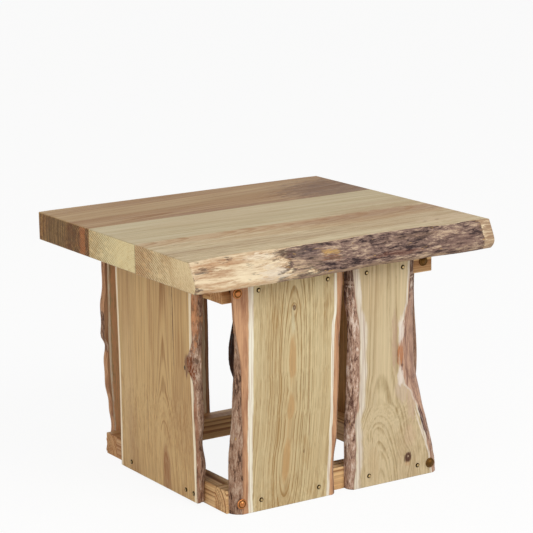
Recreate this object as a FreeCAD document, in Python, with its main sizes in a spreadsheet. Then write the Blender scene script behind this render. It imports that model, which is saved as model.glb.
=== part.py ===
"""Low square table with a thick live-edge top on a base of square rails and slab boards.

Millimetres, +Z up. The origin is on the floor under the middle of the top, and the waney
front edge of the top faces -Y. Three planks make the top. Four upper and four lower rails
make two square frames, bolted at their corners, and six live-edge boards join the frames.
"""

import FreeCAD
import Part

import math
import os

import Sketcher
from FreeCAD import Placement, Rotation, Vector

SIZES = {
    # The top and its three planks.
    "top_wide": 610,
    "top_deep": 568,
    "top_thick": 51,
    "table_high": 457,
    "front_plank_left_deep": 205,
    "front_plank_right_deep": 214,
    "middle_plank_left_deep": 166,
    "middle_plank_right_deep": 167,
    "front_edge_deep": 42,
    "back_corner_round": 6,
    # The base, its rails and boards.
    "end_overhang": 88,
    "front_overhang": 70.5,
    "back_overhang": 70.5,
    "rail_high": 40,
    "rail_thick": 38,
    "board_thick": 19,
    "side_board_lift": 4,
    "front_left_margin": 4,
    "front_left_board_wide": 236,
    "front_board_gap": 1,
    "front_right_overhang": 4,
    "side_front_margin": 61,
    "side_back_margin": 84,
    "back_right_margin": 2,
    "back_right_board_wide": 158,
    "back_board_gap": 49,
    "back_left_margin": 3,
    # The carriage bolts and the cross dowels that they pull on.
    "bolt_across": 8,
    "bolt_head_across": 18,
    "bolt_head_high": 4.5,
    "bolt_neck_across": 8.2,
    "bolt_neck_deep": 4.5,
    "bolt_tip_out": 3,
    "bolt_slack": 0.5,
    "dowel_across": 10,
    "dowel_cover": 5,
    "dowel_from_end": 24,
    "dowel_slack": 0.4,
    "dowel_slot_wide": 1.6,
    "dowel_slot_deep": 1.5,
    # The round-head wood screws.
    "screw_across": 4.2,
    "screw_head_across": 8.3,
    "screw_head_high": 2.6,
    "screw_point_long": 5,
    "screw_cross_long": 4.6,
    "screw_cross_wide": 1.1,
    "screw_cross_deep": 1.3,
    "screw_slack": 0.3,
    "board_screw_bite": 22,
    "corner_screw_from_bolt": 27.2,
    "top_screw_bite": 24,
    # How far a cutting form runs past the piece that it cuts.
    "overrun": 5,
}

# Sizes and places that follow from the sizes above.
PLACES = {
    "base_wide": "Sizes.top_wide - 2 * Sizes.end_overhang",
    "base_deep": "Sizes.top_deep - Sizes.front_overhang - Sizes.back_overhang",
    "base_front": "Sizes.front_overhang - Sizes.top_deep / 2",
    "base_back": "base_front + base_deep",
    "board_high": "Sizes.table_high - Sizes.top_thick",
    "side_board_high": "board_high - Sizes.side_board_lift",
    "upper_rail_up": "board_high - Sizes.rail_high",
    "upper_fixing_up": "board_high - Sizes.rail_high / 2",
    "lower_fixing_up": "Sizes.rail_high / 2",
    "rail_middle": "Sizes.rail_thick / 2",
    "side_rail_long": "base_deep - 2 * Sizes.rail_thick",
    "front_right_start": "Sizes.front_left_margin + Sizes.front_left_board_wide + Sizes.front_board_gap",
    "front_right_board_wide": "base_wide + Sizes.front_right_overhang - front_right_start",
    "side_board_wide": "base_deep - Sizes.side_front_margin - Sizes.side_back_margin",
    "back_left_start": "Sizes.back_right_margin + Sizes.back_right_board_wide + Sizes.back_board_gap",
    "back_left_board_wide": "base_wide - Sizes.back_left_margin - back_left_start",
    "back_joint_left": "Sizes.front_plank_left_deep + Sizes.middle_plank_left_deep",
    "back_joint_right": "Sizes.front_plank_right_deep + Sizes.middle_plank_right_deep",
    "bolt_hole": "Sizes.bolt_across + Sizes.bolt_slack",
    "bolt_reach": "Sizes.dowel_from_end + Sizes.dowel_across / 2 + Sizes.bolt_tip_out",
    "bolt_bore_deep": "bolt_reach + Sizes.bolt_slack",
    "rail_bolt_long": "Sizes.rail_thick + bolt_reach",
    "board_bolt_long": "Sizes.board_thick + rail_bolt_long",
    "neck_hole": "Sizes.bolt_neck_across + Sizes.bolt_slack",
    "neck_hole_deep": "Sizes.bolt_neck_deep + Sizes.bolt_slack",
    "dowel_hole": "Sizes.dowel_across + Sizes.dowel_slack",
    "dowel_long": "Sizes.rail_thick - 2 * Sizes.dowel_cover",
    "screw_hole": "Sizes.screw_across + Sizes.screw_slack",
    "board_screw_long": "Sizes.board_thick + Sizes.board_screw_bite",
    "board_screw_hole_deep": "Sizes.board_screw_bite + Sizes.screw_slack",
    "top_screw_long": "Sizes.rail_high + Sizes.top_screw_bite",
    "top_screw_hole_deep": "Sizes.top_screw_bite + Sizes.screw_slack",
}

# Each side of the base is seen from outside: its left corner, its turn about Z, and the
# directions of its length and of its inward side as (x, y).
SIDES = {
    "front": ("-Places.base_wide / 2", "Places.base_front", 0, (1, 0), (0, 1)),
    "right": ("Places.base_wide / 2", "Places.base_front", 90, (0, 1), (-1, 0)),
    "back": ("Places.base_wide / 2", "Places.base_back", 180, (-1, 0), (0, -1)),
    "left": ("-Places.base_wide / 2", "Places.base_back", 270, (0, -1), (1, 0)),
}

# The live front edge of the top: share of the width from the left end, then how far the edge
# lies back from its foremost line at the bottom arris, low down, half way up and at the top
# arris, as shares of front_edge_deep.
TOP_EDGE_SHARES = [
    (0.00, 0.22, 0.12, 0.30, 0.60),
    (0.08, 0.08, 0.00, 0.24, 0.80),
    (0.16, 0.17, 0.07, 0.36, 0.92),
    (0.23, 0.13, 0.04, 0.31, 0.90),
    (0.30, 0.19, 0.06, 0.24, 0.70),
    (0.36, 0.14, 0.03, 0.26, 0.80),
    (0.43, 0.23, 0.10, 0.30, 0.76),
    (0.50, 0.22, 0.09, 0.27, 0.74),
    (0.57, 0.38, 0.20, 0.37, 0.84),
    (0.63, 0.40, 0.22, 0.40, 0.90),
    (0.70, 0.31, 0.14, 0.34, 0.86),
    (0.78, 0.36, 0.18, 0.33, 0.82),
    (0.85, 0.26, 0.10, 0.20, 0.52),
    (0.92, 0.24, 0.08, 0.20, 0.66),
    (1.00, 0.32, 0.10, 0.18, 0.44),
]
TOP_EDGE_UP_SHARES = (0.00, 0.20, 0.56, 1.00)

# A slab board seen from outside: share of its height, then where its faces end as shares of
# its width: left end of the outer face, left of the inner face, right of the inner face and
# right of the outer face.
FRONT_LEFT_SHARES = [
    (0.00, 0.072, 0.004, 0.900, 0.858),
    (0.08, 0.076, 0.001, 0.894, 0.852),
    (0.16, 0.083, 0.004, 0.898, 0.856),
    (0.24, 0.079, 0.008, 0.923, 0.881),
    (0.32, 0.089, 0.023, 0.933, 0.891),
    (0.41, 0.084, 0.041, 0.942, 0.900),
    (0.49, 0.082, 0.051, 0.950, 0.908),
    (0.57, 0.082, 0.059, 0.955, 0.913),
    (0.65, 0.078, 0.071, 0.956, 0.914),
    (0.73, 0.058, 0.080, 0.966, 0.924),
    (0.82, 0.036, 0.080, 0.980, 0.938),
    (0.91, 0.023, 0.076, 0.993, 0.951),
    (1.00, 0.015, 0.072, 0.999, 0.960),
]
FRONT_RIGHT_SHARES = [
    (0.00, 0.040, 0.005, 0.999, 0.926),
    (0.08, 0.058, 0.003, 0.987, 0.906),
    (0.15, 0.066, 0.006, 0.960, 0.868),
    (0.24, 0.068, 0.008, 0.905, 0.826),
    (0.32, 0.068, 0.017, 0.866, 0.769),
    (0.41, 0.104, 0.032, 0.823, 0.688),
    (0.50, 0.112, 0.040, 0.782, 0.630),
    (0.59, 0.116, 0.047, 0.775, 0.596),
    (0.67, 0.122, 0.056, 0.770, 0.606),
    (0.75, 0.110, 0.050, 0.768, 0.634),
    (0.83, 0.078, 0.026, 0.771, 0.657),
    (0.91, 0.064, 0.023, 0.770, 0.668),
    (1.00, 0.048, 0.020, 0.768, 0.674),
]
LEFT_SHARES = [
    (0.00, 0.028, 0.004, 0.960, 0.984),
    (0.10, 0.029, 0.001, 0.970, 0.984),
    (0.17, 0.031, 0.006, 0.984, 0.986),
    (0.25, 0.032, 0.010, 0.952, 0.986),
    (0.34, 0.034, 0.006, 0.974, 0.977),
    (0.45, 0.036, 0.002, 0.976, 0.973),
    (0.54, 0.034, 0.005, 0.970, 0.965),
    (0.60, 0.032, 0.008, 0.966, 0.906),
    (0.64, 0.031, 0.009, 0.968, 0.914),
    (0.70, 0.030, 0.008, 0.974, 0.962),
    (0.78, 0.028, 0.004, 0.988, 0.967),
    (0.86, 0.026, 0.002, 0.999, 0.969),
    (1.00, 0.023, 0.003, 0.990, 0.970),
]
RIGHT_SHARES = [
    (0.00, 0.060, 0.020, 0.975, 0.930),
    (0.15, 0.040, 0.004, 0.985, 0.950),
    (0.30, 0.052, 0.012, 0.999, 0.962),
    (0.45, 0.036, 0.001, 0.990, 0.955),
    (0.62, 0.050, 0.018, 0.972, 0.930),
    (0.80, 0.064, 0.026, 0.980, 0.942),
    (1.00, 0.048, 0.010, 0.968, 0.938),
]
BACK_RIGHT_SHARES = [
    (0.00, 0.030, 0.001, 0.925, 0.888),
    (0.14, 0.024, 0.004, 0.918, 0.882),
    (0.23, 0.028, 0.008, 0.924, 0.888),
    (0.27, 0.032, 0.010, 0.966, 0.930),
    (0.31, 0.035, 0.012, 0.988, 0.952),
    (0.37, 0.038, 0.013, 0.992, 0.956),
    (0.44, 0.040, 0.014, 0.964, 0.928),
    (0.52, 0.040, 0.012, 0.922, 0.886),
    (0.60, 0.036, 0.008, 0.905, 0.870),
    (0.72, 0.028, 0.004, 0.905, 0.868),
    (0.86, 0.032, 0.006, 0.908, 0.870),
    (1.00, 0.026, 0.002, 0.912, 0.872),
]
BACK_LEFT_SHARES = [
    (0.00, 0.020, 0.003, 0.985, 0.975),
    (0.08, 0.024, 0.001, 0.942, 0.928),
    (0.14, 0.025, 0.003, 0.936, 0.922),
    (0.19, 0.026, 0.004, 0.948, 0.936),
    (0.25, 0.023, 0.006, 0.955, 0.943),
    (0.30, 0.021, 0.006, 0.973, 0.964),
    (0.37, 0.018, 0.004, 0.975, 0.967),
    (0.44, 0.016, 0.002, 0.979, 0.970),
    (0.48, 0.015, 0.002, 0.966, 0.957),
    (0.51, 0.014, 0.001, 0.968, 0.958),
    (0.54, 0.014, 0.001, 0.993, 0.987),
    (0.58, 0.014, 0.002, 0.995, 0.988),
    (0.64, 0.014, 0.002, 0.993, 0.986),
    (0.70, 0.012, 0.003, 0.993, 0.986),
    (0.74, 0.012, 0.003, 0.980, 0.971),
    (0.78, 0.011, 0.002, 0.973, 0.962),
    (0.86, 0.010, 0.002, 0.974, 0.962),
    (1.00, 0.012, 0.004, 0.976, 0.964),
]
EDGE_BULGE_SHARE = 0.16

# The boards: side of the base, start along it, width, lift, outline and the corners where
# bolts pass through them.
BOARDS = {
    "front_board_left": (
        "front", "Sizes.front_left_margin", "Sizes.front_left_board_wide", "0",
        FRONT_LEFT_SHARES, ("upper_left", "lower_left"),
    ),
    "front_board_right": (
        "front", "Places.front_right_start", "Places.front_right_board_wide", "0",
        FRONT_RIGHT_SHARES, ("lower_right",),
    ),
    "left_board": (
        "left", "Sizes.side_back_margin", "Places.side_board_wide", "Sizes.side_board_lift",
        LEFT_SHARES, (),
    ),
    "right_board": (
        "right", "Sizes.side_front_margin", "Places.side_board_wide", "Sizes.side_board_lift",
        RIGHT_SHARES, (),
    ),
    "back_board_right": (
        "back", "Sizes.back_right_margin", "Sizes.back_right_board_wide", "0",
        BACK_RIGHT_SHARES, ("upper_left", "lower_left"),
    ),
    "back_board_left": (
        "back", "Places.back_left_start", "Places.back_left_board_wide", "0",
        BACK_LEFT_SHARES, ("upper_right", "lower_right"),
    ),
}

# Where the screws of each board stand in its upper and lower row, as shares of its width.
BOARD_SCREW_SHARES = {
    "front_board_left": {"upper": (0.24, 0.83), "lower": (0.23, 0.73)},
    "front_board_right": {"upper": (0.20, 0.59), "lower": (0.21,)},
    "left_board": {"upper": (0.12, 0.86), "lower": (0.164, 0.854, 0.944)},
    "right_board": {"upper": (0.14, 0.85), "lower": (0.15, 0.84)},
    "back_board_right": {"upper": (0.34, 0.78), "lower": (0.32, 0.77)},
    "back_board_left": {"upper": (0.16, 0.74), "lower": (0.18, 0.72)},
}

# The board whose last lower screw stands beside the corner bolt.
BOARD_WITH_CORNER_SCREW = "front_board_right"

# Where the screws that hold the top go up through each upper rail, as shares of its length.
TOP_SCREW_SHARES = {
    "front": (0.28, 0.72),
    "back": (0.27, 0.70),
    "left": (0.34, 0.62),
    "right": (0.36, 0.64),
}

ACROSS_TO_UP = Rotation(Vector(1, 0, 0), 90)
UP_TO_ACROSS = Rotation(Vector(1, 0, 0), -90)

doc = FreeCAD.newDocument("live_edge_table")


def fill_sheet(name, cells):
    """A spreadsheet with one named cell in each row."""
    page = doc.addObject("Spreadsheet::Sheet", name)
    for row, (alias, content) in enumerate(cells.items(), start=1):
        page.set(f"A{row}", alias)
        page.set(f"B{row}", str(content))
        page.setAlias(f"B{row}", alias)
    return page


sizes = fill_sheet("Sizes", SIZES)
fill_sheet("Places", {alias: "=" + formula for alias, formula in PLACES.items()})
doc.recompute()


def number(expression):
    """The value of an expression in millimetres."""
    return float(sizes.evalExpression(expression))


def stand(piece, x, y, z):
    """Bind a piece's place in the table's frame to three expressions."""
    piece.setExpression("Placement.Base.x", x)
    piece.setExpression("Placement.Base.y", y)
    piece.setExpression("Placement.Base.z", z)


def stand_at_side(piece, side, along, inward, up):
    """Stand a piece in a side's own frame: along the side, inward from its face, and up."""
    corner_x, corner_y, turn, (along_x, along_y), (inward_x, inward_y) = SIDES[side]
    piece.Placement = Placement(Vector(), Rotation(Vector(0, 0, 1), turn))
    x = f"{corner_x} + ({along}) * ({along_x}) + ({inward}) * ({inward_x})"
    y = f"{corner_y} + ({along}) * ({along_y}) + ({inward}) * ({inward_y})"
    stand(piece, x, y, up)


def side_long(side):
    """The length of a side of the base."""
    return "Places.base_wide" if side in ("front", "back") else "Places.base_deep"


def new_sketch(body, name, role, shift="0"):
    """A sketch on one of the body's own origin planes, moved along the plane's normal."""
    sketch = body.newObject("Sketcher::SketchObject", name)
    plane = next(feature for feature in body.Origin.OriginFeatures if feature.Role == role)
    sketch.AttachmentSupport = [(plane, "")]
    sketch.MapMode = "FlatFace"
    sketch.setExpression("AttachmentOffset.Base.z", shift)
    return sketch


def bind(sketch, kind, arguments, name, expression):
    """A sketch dimension whose value follows an expression."""
    index = sketch.addConstraint(Sketcher.Constraint(kind, *arguments, number(expression)))
    sketch.renameConstraint(index, name)
    sketch.setExpression(f"Constraints.{name}", expression)


def add_polygon(sketch, corners):
    """A closed polygon, each corner held from the sketch's origin by two expressions."""
    points = [Vector(number(x), number(y), 0) for x, y in corners]
    for start, end in zip(points, points[1:] + points[:1]):
        sketch.addGeometry(Part.LineSegment(start, end), False)
    for index, (x, y) in enumerate(corners):
        following = (index + 1) % len(corners)
        sketch.addConstraint(Sketcher.Constraint("Coincident", index, 2, following, 1))
        bind(sketch, "DistanceX", (-1, 1, index, 1), f"corner_{index}_x", x)
        bind(sketch, "DistanceY", (-1, 1, index, 1), f"corner_{index}_y", y)


def add_circles(sketch, centres, across):
    """Circles of one diameter, their centres held by expressions."""
    for index, (x, y) in enumerate(centres):
        middle = Vector(number(x), number(y), 0)
        circle = Part.Circle(middle, Vector(0, 0, 1), number(across) / 2)
        sketch.addGeometry(circle, False)
        bind(sketch, "Diameter", (index,), f"hole_{index}_across", across)
        bind(sketch, "DistanceX", (-1, 1, index, 3), f"hole_{index}_x", x)
        bind(sketch, "DistanceY", (-1, 1, index, 3), f"hole_{index}_y", y)


def pad(body, name, sketch, length, reverse=False):
    """Raise a sketch into a solid."""
    feature = body.newObject("PartDesign::Pad", name)
    feature.Profile = sketch
    feature.Reversed = reverse
    feature.setExpression("Length", length)
    return feature


def pocket(body, name, sketch, length, reverse=False):
    """Cut a sketch out of the body to a depth, or right through where none is given."""
    feature = body.newObject("PartDesign::Pocket", name)
    feature.Profile = sketch
    feature.Reversed = reverse
    if length:
        feature.setExpression("Length", length)
    else:
        feature.Type = "ThroughAll"
    return feature


def drill(body, name, role, centres, across, deep, reverse=False, shift="0"):
    """A row of round holes from one of the body's planes."""
    if not centres:
        return
    sketch = new_sketch(body, f"{name}_centres", role, shift)
    add_circles(sketch, centres, across)
    pocket(body, name, sketch, deep, reverse)


def screws_of_board(name, row):
    """How far along its side each screw of a board's upper or lower row stands."""
    side, start, wide, *_ = BOARDS[name]
    found = [f"{start} + ({wide}) * {share}" for share in BOARD_SCREW_SHARES[name][row]]
    if name == BOARD_WITH_CORNER_SCREW and row == "lower":
        found.append(f"{corner_along(side, 'lower_right')} - Sizes.corner_screw_from_bolt")
    return found


def screws_of_side(side, row):
    """How far along a side each screw of its boards' upper or lower row stands."""
    found = []
    for name, board in BOARDS.items():
        if board[0] == side:
            found += screws_of_board(name, row)
    return found


def corner_along(side, corner):
    """How far along a front or back side the bolt at one of its corners stands."""
    if corner.endswith("left"):
        return "Places.rail_middle"
    return f"{side_long(side)} - Places.rail_middle"


def fixing_up(row):
    """The height of a row of bolts and screws, half way up its rail."""
    return f"Places.{row}_fixing_up"


def is_board_bolt(side, corner):
    """Whether the bolt at a corner of a side passes through a board before its rail."""
    return any(board[0] == side and corner in board[-1] for board in BOARDS.values())


def through_rail(row, side):
    """A front or back rail: it runs the whole side, over the ends of the side rails."""
    name = f"{row}_rail_{side}"
    body = doc.addObject("PartDesign::Body", name)
    section = new_sketch(body, f"{name}_plan", "XY_Plane")
    long = side_long(side)
    corners = [("0", "0"), (long, "0"), (long, "Sizes.rail_thick"), ("0", "Sizes.rail_thick")]
    add_polygon(section, corners)
    pad(body, f"{name}_bar", section, "Sizes.rail_high")
    doc.recompute()

    half_up = "Sizes.rail_high / 2"
    ends = [corner_along(side, corner) for corner in ("left", "right")]
    bolt_centres = [(along, half_up) for along in ends]
    drill(body, f"{name}_bolt_holes", "XZ_Plane", bolt_centres, "Places.bolt_hole", None)
    screw_centres = [(along, half_up) for along in screws_of_side(side, row)]
    drill(body, f"{name}_screw_holes", "XZ_Plane", screw_centres, "Places.screw_hole",
          "Places.board_screw_hole_deep")
    for corner in ("left", "right"):
        if not is_board_bolt(side, f"{row}_{corner}"):
            sketch = new_sketch(body, f"{name}_{corner}_neck_plan", "XZ_Plane")
            add_polygon(sketch, square_corners(corner_along(side, corner), half_up))
            pocket(body, f"{name}_{corner}_neck_hole", sketch, "Places.neck_hole_deep")
    if row == "upper":
        rises = [(f"{long} * {share}", "Places.rail_middle") for share in TOP_SCREW_SHARES[side]]
        drill(body, f"{name}_top_screw_holes", "XY_Plane", rises, "Places.screw_hole", None, True)
    stand_at_side(body, side, "0", "0", rail_up(row))
    return body


def square_corners(x, y):
    """The corners of the square hole for a bolt's neck about a point."""
    half = "Places.neck_hole / 2"
    return [
        (f"{x} - {half}", f"{y} - {half}"),
        (f"{x} + {half}", f"{y} - {half}"),
        (f"{x} + {half}", f"{y} + {half}"),
        (f"{x} - {half}", f"{y} + {half}"),
    ]


def rail_up(row):
    """The height of the underside of a row of rails."""
    return "Places.upper_rail_up" if row == "upper" else "0"


def butted_rail(row, side):
    """A left or right rail: it fits between the front and back rails, bored for dowels."""
    name = f"{row}_rail_{side}"
    body = doc.addObject("PartDesign::Body", name)
    section = new_sketch(body, f"{name}_plan", "XY_Plane")
    long = "Places.side_rail_long"
    corners = [("0", "0"), (long, "0"), (long, "Sizes.rail_thick"), ("0", "Sizes.rail_thick")]
    add_polygon(section, corners)
    pad(body, f"{name}_bar", section, "Sizes.rail_high")
    doc.recompute()

    half_up = "Sizes.rail_high / 2"
    end_centre = [("Places.rail_middle", half_up)]
    drill(body, f"{name}_near_bolt_hole", "YZ_Plane", end_centre, "Places.bolt_hole",
          "Places.bolt_bore_deep", True)
    drill(body, f"{name}_far_bolt_hole", "YZ_Plane", end_centre, "Places.bolt_hole",
          "Places.bolt_bore_deep", False, long)
    dowel_centres = [("Sizes.dowel_from_end", half_up), (f"{long} - Sizes.dowel_from_end", half_up)]
    drill(body, f"{name}_dowel_bores", "XZ_Plane", dowel_centres, "Places.dowel_hole",
          "Sizes.rail_thick - Sizes.dowel_cover", True, "-Sizes.rail_thick")
    screw_centres = [(f"{along} - Sizes.rail_thick", half_up) for along in screws_of_side(side, row)]
    drill(body, f"{name}_screw_holes", "XZ_Plane", screw_centres, "Places.screw_hole",
          "Places.board_screw_hole_deep")
    if row == "upper":
        rises = [(f"{long} * {share}", "Places.rail_middle") for share in TOP_SCREW_SHARES[side]]
        drill(body, f"{name}_top_screw_holes", "XY_Plane", rises, "Places.screw_hole", None, True)
    stand_at_side(body, side, "Sizes.rail_thick", "0", rail_up(row))
    return body


def top_screw_places(side):
    """Where the screws of one upper rail stand, as x and y expressions from the table's middle."""
    corner_x, corner_y, _, (along_x, along_y), (inward_x, inward_y) = SIDES[side]
    if side in ("front", "back"):
        starts, long = "0", side_long(side)
    else:
        starts, long = "Sizes.rail_thick", "Places.side_rail_long"
    found = []
    for share in TOP_SCREW_SHARES[side]:
        along = f"({starts} + {long} * {share})"
        x = f"{corner_x} + {along} * ({along_x}) + Places.rail_middle * ({inward_x})"
        y = f"{corner_y} + {along} * ({along_y}) + Places.rail_middle * ({inward_y})"
        found.append((x, y))
    return found


def plank(name, front, back):
    """A straight plank of the top between two slanting joints, drilled for the screws below it."""
    body = doc.addObject("PartDesign::Body", name)
    section = new_sketch(body, f"{name}_plan", "XY_Plane")
    corners = [
        ("0", front[0]), ("Sizes.top_wide", front[1]), ("Sizes.top_wide", back[1]), ("0", back[0]),
    ]
    add_polygon(section, corners)
    pad(body, f"{name}_slab", section, "Sizes.top_thick")
    doc.recompute()
    centres = []
    for side in SIDES:
        for x, y in top_screw_places(side):
            centres.append((f"{x} + Sizes.top_wide / 2", f"{y} + Sizes.top_deep / 2"))
    drill(body, f"{name}_screw_holes", "XY_Plane", centres, "Places.screw_hole",
          "Places.top_screw_hole_deep", True)
    stand(body, "-Sizes.top_wide / 2", "-Sizes.top_deep / 2", "Places.board_high")
    return body


def round_back_corners(body):
    """Round the two upright back corners of the back plank."""
    slab = body.Tip
    doc.recompute()
    deep = number("Sizes.top_deep")
    names = []
    for index, edge in enumerate(slab.Shape.Edges, start=1):
        low, high = edge.BoundBox.ZMin, edge.BoundBox.ZMax
        is_upright = math.isclose(high - low, number("Sizes.top_thick"))
        if is_upright and math.isclose(edge.BoundBox.YMin, deep):
            names.append(f"Edge{index}")
    rounding = body.newObject("PartDesign::Fillet", f"{body.Name}_corners")
    rounding.Base = (slab, names)
    rounding.setExpression("Radius", "Sizes.back_corner_round")


def waste_form(name, rows, push):
    """The waste beyond a waney surface: a face through rows of points, pushed outwards."""
    surface = Part.BSplineSurface()
    surface.interpolate(rows)
    form = doc.addObject("Part::Feature", name)
    form.Shape = surface.toShape().extrude(push)
    return form


def front_waste():
    """The waste in front of the top's live edge, from its outline along the width."""
    wide, thick = number("Sizes.top_wide"), number("Sizes.top_thick")
    edge_deep, over = number("Sizes.front_edge_deep"), number("Sizes.overrun")
    stations = [(wide * row[0], row[1:]) for row in TOP_EDGE_SHARES]
    stations.insert(0, (-over, stations[0][1]))
    stations.append((wide + over, stations[-1][1]))
    rows = []
    for x, inset_shares in stations:
        points = []
        for inset_share, up_share in zip(inset_shares, TOP_EDGE_UP_SHARES):
            points.append(Vector(x, edge_deep * inset_share, thick * up_share))
        below = points[0] + Vector(0, over, -over)
        above = points[-1] + Vector(0, over, over)
        rows.append([below, *points, above])
    form = waste_form("front_waste", rows, Vector(0, -edge_deep - over, 0))
    stand(form, "-Sizes.top_wide / 2", "-Sizes.top_deep / 2", "Places.board_high")
    return form


def edge_points(outer, inner, up, bulge):
    """One waney edge at one height, from outside the outer face to beyond the inner face."""
    thick, over = number("Sizes.board_thick"), number("Sizes.overrun")
    lean = (inner - outer) / thick
    return [
        Vector(outer - lean * over, -over, up),
        Vector(outer, 0, up),
        Vector((outer + inner) / 2 + bulge, thick / 2, up),
        Vector(inner, thick, up),
        Vector(inner + lean * over, thick + over, up),
    ]


def board_waste(name, wide_expression, high_expression, outline_shares):
    """The waste beyond the left and right waney edges of a slab board."""
    wide, high = number(wide_expression), number(high_expression)
    over = number("Sizes.overrun")
    bulge = number("Sizes.board_thick") * EDGE_BULGE_SHARE
    stations = [(high * row[0], row[1:]) for row in outline_shares]
    stations.insert(0, (-over, stations[0][1]))
    stations.append((high + over, stations[-1][1]))
    left_rows, right_rows = [], []
    for up, (left_outer, left_inner, right_inner, right_outer) in stations:
        left_rows.append(edge_points(wide * left_outer, wide * left_inner, up, -bulge))
        right_rows.append(edge_points(wide * right_outer, wide * right_inner, up, bulge))
    push = Vector(wide / 2, 0, 0)
    left = waste_form(f"{name}_left_waste", left_rows, -push)
    right = waste_form(f"{name}_right_waste", right_rows, push)
    waste = doc.addObject("Part::Compound", f"{name}_waste")
    waste.Links = [left, right]
    return waste


def cross_pin(name, across, long, x, y, z):
    """A round cutting form along +Y from a point given by expressions."""
    pin = doc.addObject("Part::Cylinder", name)
    pin.setExpression("Radius", f"{across} / 2")
    pin.setExpression("Height", long)
    pin.Placement = Placement(Vector(), UP_TO_ACROSS)
    stand(pin, x, y, z)
    return pin


def slab_board(name):
    """A live-edge board in its own frame, cut to height and bored, then stood at its side."""
    side, start, wide, lift, outline_shares, bolts = BOARDS[name]
    high = "Places.board_high" if lift == "0" else "Places.side_board_high"
    plate = doc.addObject("Part::Box", f"{name}_plate")
    plate.setExpression("Length", wide)
    plate.setExpression("Width", "Sizes.board_thick")
    plate.setExpression("Height", high)
    blank = doc.addObject("Part::Cut", f"{name}_blank")
    blank.Base = plate
    blank.Tool = board_waste(name, wide, high, outline_shares)

    through = "Sizes.board_thick + 2 * Sizes.overrun"
    cutters = []
    for row in ("upper", "lower"):
        up = f"{fixing_up(row)} - {lift}"
        for index, along in enumerate(screws_of_board(name, row)):
            pin = cross_pin(f"{name}_{row}_screw_hole_{index}", "Places.screw_hole", through,
                            f"{along} - ({start})", "-Sizes.overrun", up)
            cutters.append(pin)
    for corner in bolts:
        x = f"{corner_along(side, corner)} - ({start})"
        up = f"{fixing_up(corner.split('_')[0])} - {lift}"
        pin = cross_pin(f"{name}_{corner}_bolt_hole", "Places.bolt_hole", through,
                        x, "-Sizes.overrun", up)
        socket = doc.addObject("Part::Box", f"{name}_{corner}_neck_hole")
        socket.setExpression("Length", "Places.neck_hole")
        socket.setExpression("Width", "Places.neck_hole_deep + Sizes.overrun")
        socket.setExpression("Height", "Places.neck_hole")
        stand(socket, f"{x} - Places.neck_hole / 2", "-Sizes.overrun", f"{up} - Places.neck_hole / 2")
        cutters += [pin, socket]
    holes = doc.addObject("Part::MultiFuse", f"{name}_holes")
    holes.Shapes = cutters
    board = doc.addObject("Part::Cut", name)
    board.Base = blank
    board.Tool = holes
    stand_at_side(board, side, start, "-Sizes.board_thick", lift)
    return board


def turned_solid(body, name, rim, rise, shank, long, point):
    """A domed head on a shank along +Y, with its seat at y = 0, turned from one outline."""
    profile = new_sketch(body, f"{name}_profile", "XY_Plane")
    rim_x, rise_y = number(rim), number(rise)
    shank_x, long_y, point_y = number(shank), number(long), number(point)
    dome_radius = (rim_x ** 2 + rise_y ** 2) / (2 * rise_y)
    middle = Vector(0, dome_radius - rise_y, 0)
    edge_angle = math.atan2(-middle.y, rim_x)
    circle = Part.Circle(middle, Vector(0, 0, 1), dome_radius)
    profile.addGeometry(Part.ArcOfCircle(circle, -math.pi / 2, edge_angle), False)
    stations = [
        Vector(rim_x, 0, 0), Vector(shank_x, 0, 0), Vector(shank_x, long_y - point_y, 0),
        Vector(0, long_y, 0), Vector(0, -rise_y, 0),
    ]
    for start, end in zip(stations, stations[1:]):
        profile.addGeometry(Part.LineSegment(start, end), False)
    for first, second in ((0, 1), (1, 2), (2, 3), (3, 4)):
        profile.addConstraint(Sketcher.Constraint("Coincident", first, 2, second, 1))
    profile.addConstraint(Sketcher.Constraint("Coincident", 4, 2, 0, 1))
    profile.addConstraint(Sketcher.Constraint("PointOnObject", 0, 3, -2))
    heights = ("0", "0", f"{long} - ({point})", long, f"-({rise})")
    widths = (rim, shank, shank, "0", "0")
    ends = ((1, 1), (2, 1), (3, 1), (4, 1), (4, 2))
    for index, (line, end) in enumerate(ends):
        bind(profile, "DistanceX", (-1, 1, line, end), f"station_{index}_x", widths[index])
        bind(profile, "DistanceY", (-1, 1, line, end), f"station_{index}_y", heights[index])
    turned = body.newObject("PartDesign::Revolution", f"{name}_turned")
    turned.Profile = profile
    turned.ReferenceAxis = (profile, ["V_Axis"])
    turned.Angle = 360
    doc.recompute()


def carriage_bolt(name, long):
    """A dome-headed bolt with a square neck, its seat at y = 0 and its shank along +Y."""
    body = doc.addObject("PartDesign::Body", name)
    turned_solid(body, name, "Sizes.bolt_head_across / 2", "Sizes.bolt_head_high",
                 "Sizes.bolt_across / 2", long, "Sizes.bolt_tip_out / 2")
    neck = new_sketch(body, f"{name}_neck_plan", "XZ_Plane")
    half = "Sizes.bolt_neck_across / 2"
    corners = [(f"-{half}", f"-{half}"), (half, f"-{half}"), (half, half), (f"-{half}", half)]
    add_polygon(neck, corners)
    pad(body, f"{name}_neck", neck, "Sizes.bolt_neck_deep", True)
    return body


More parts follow.
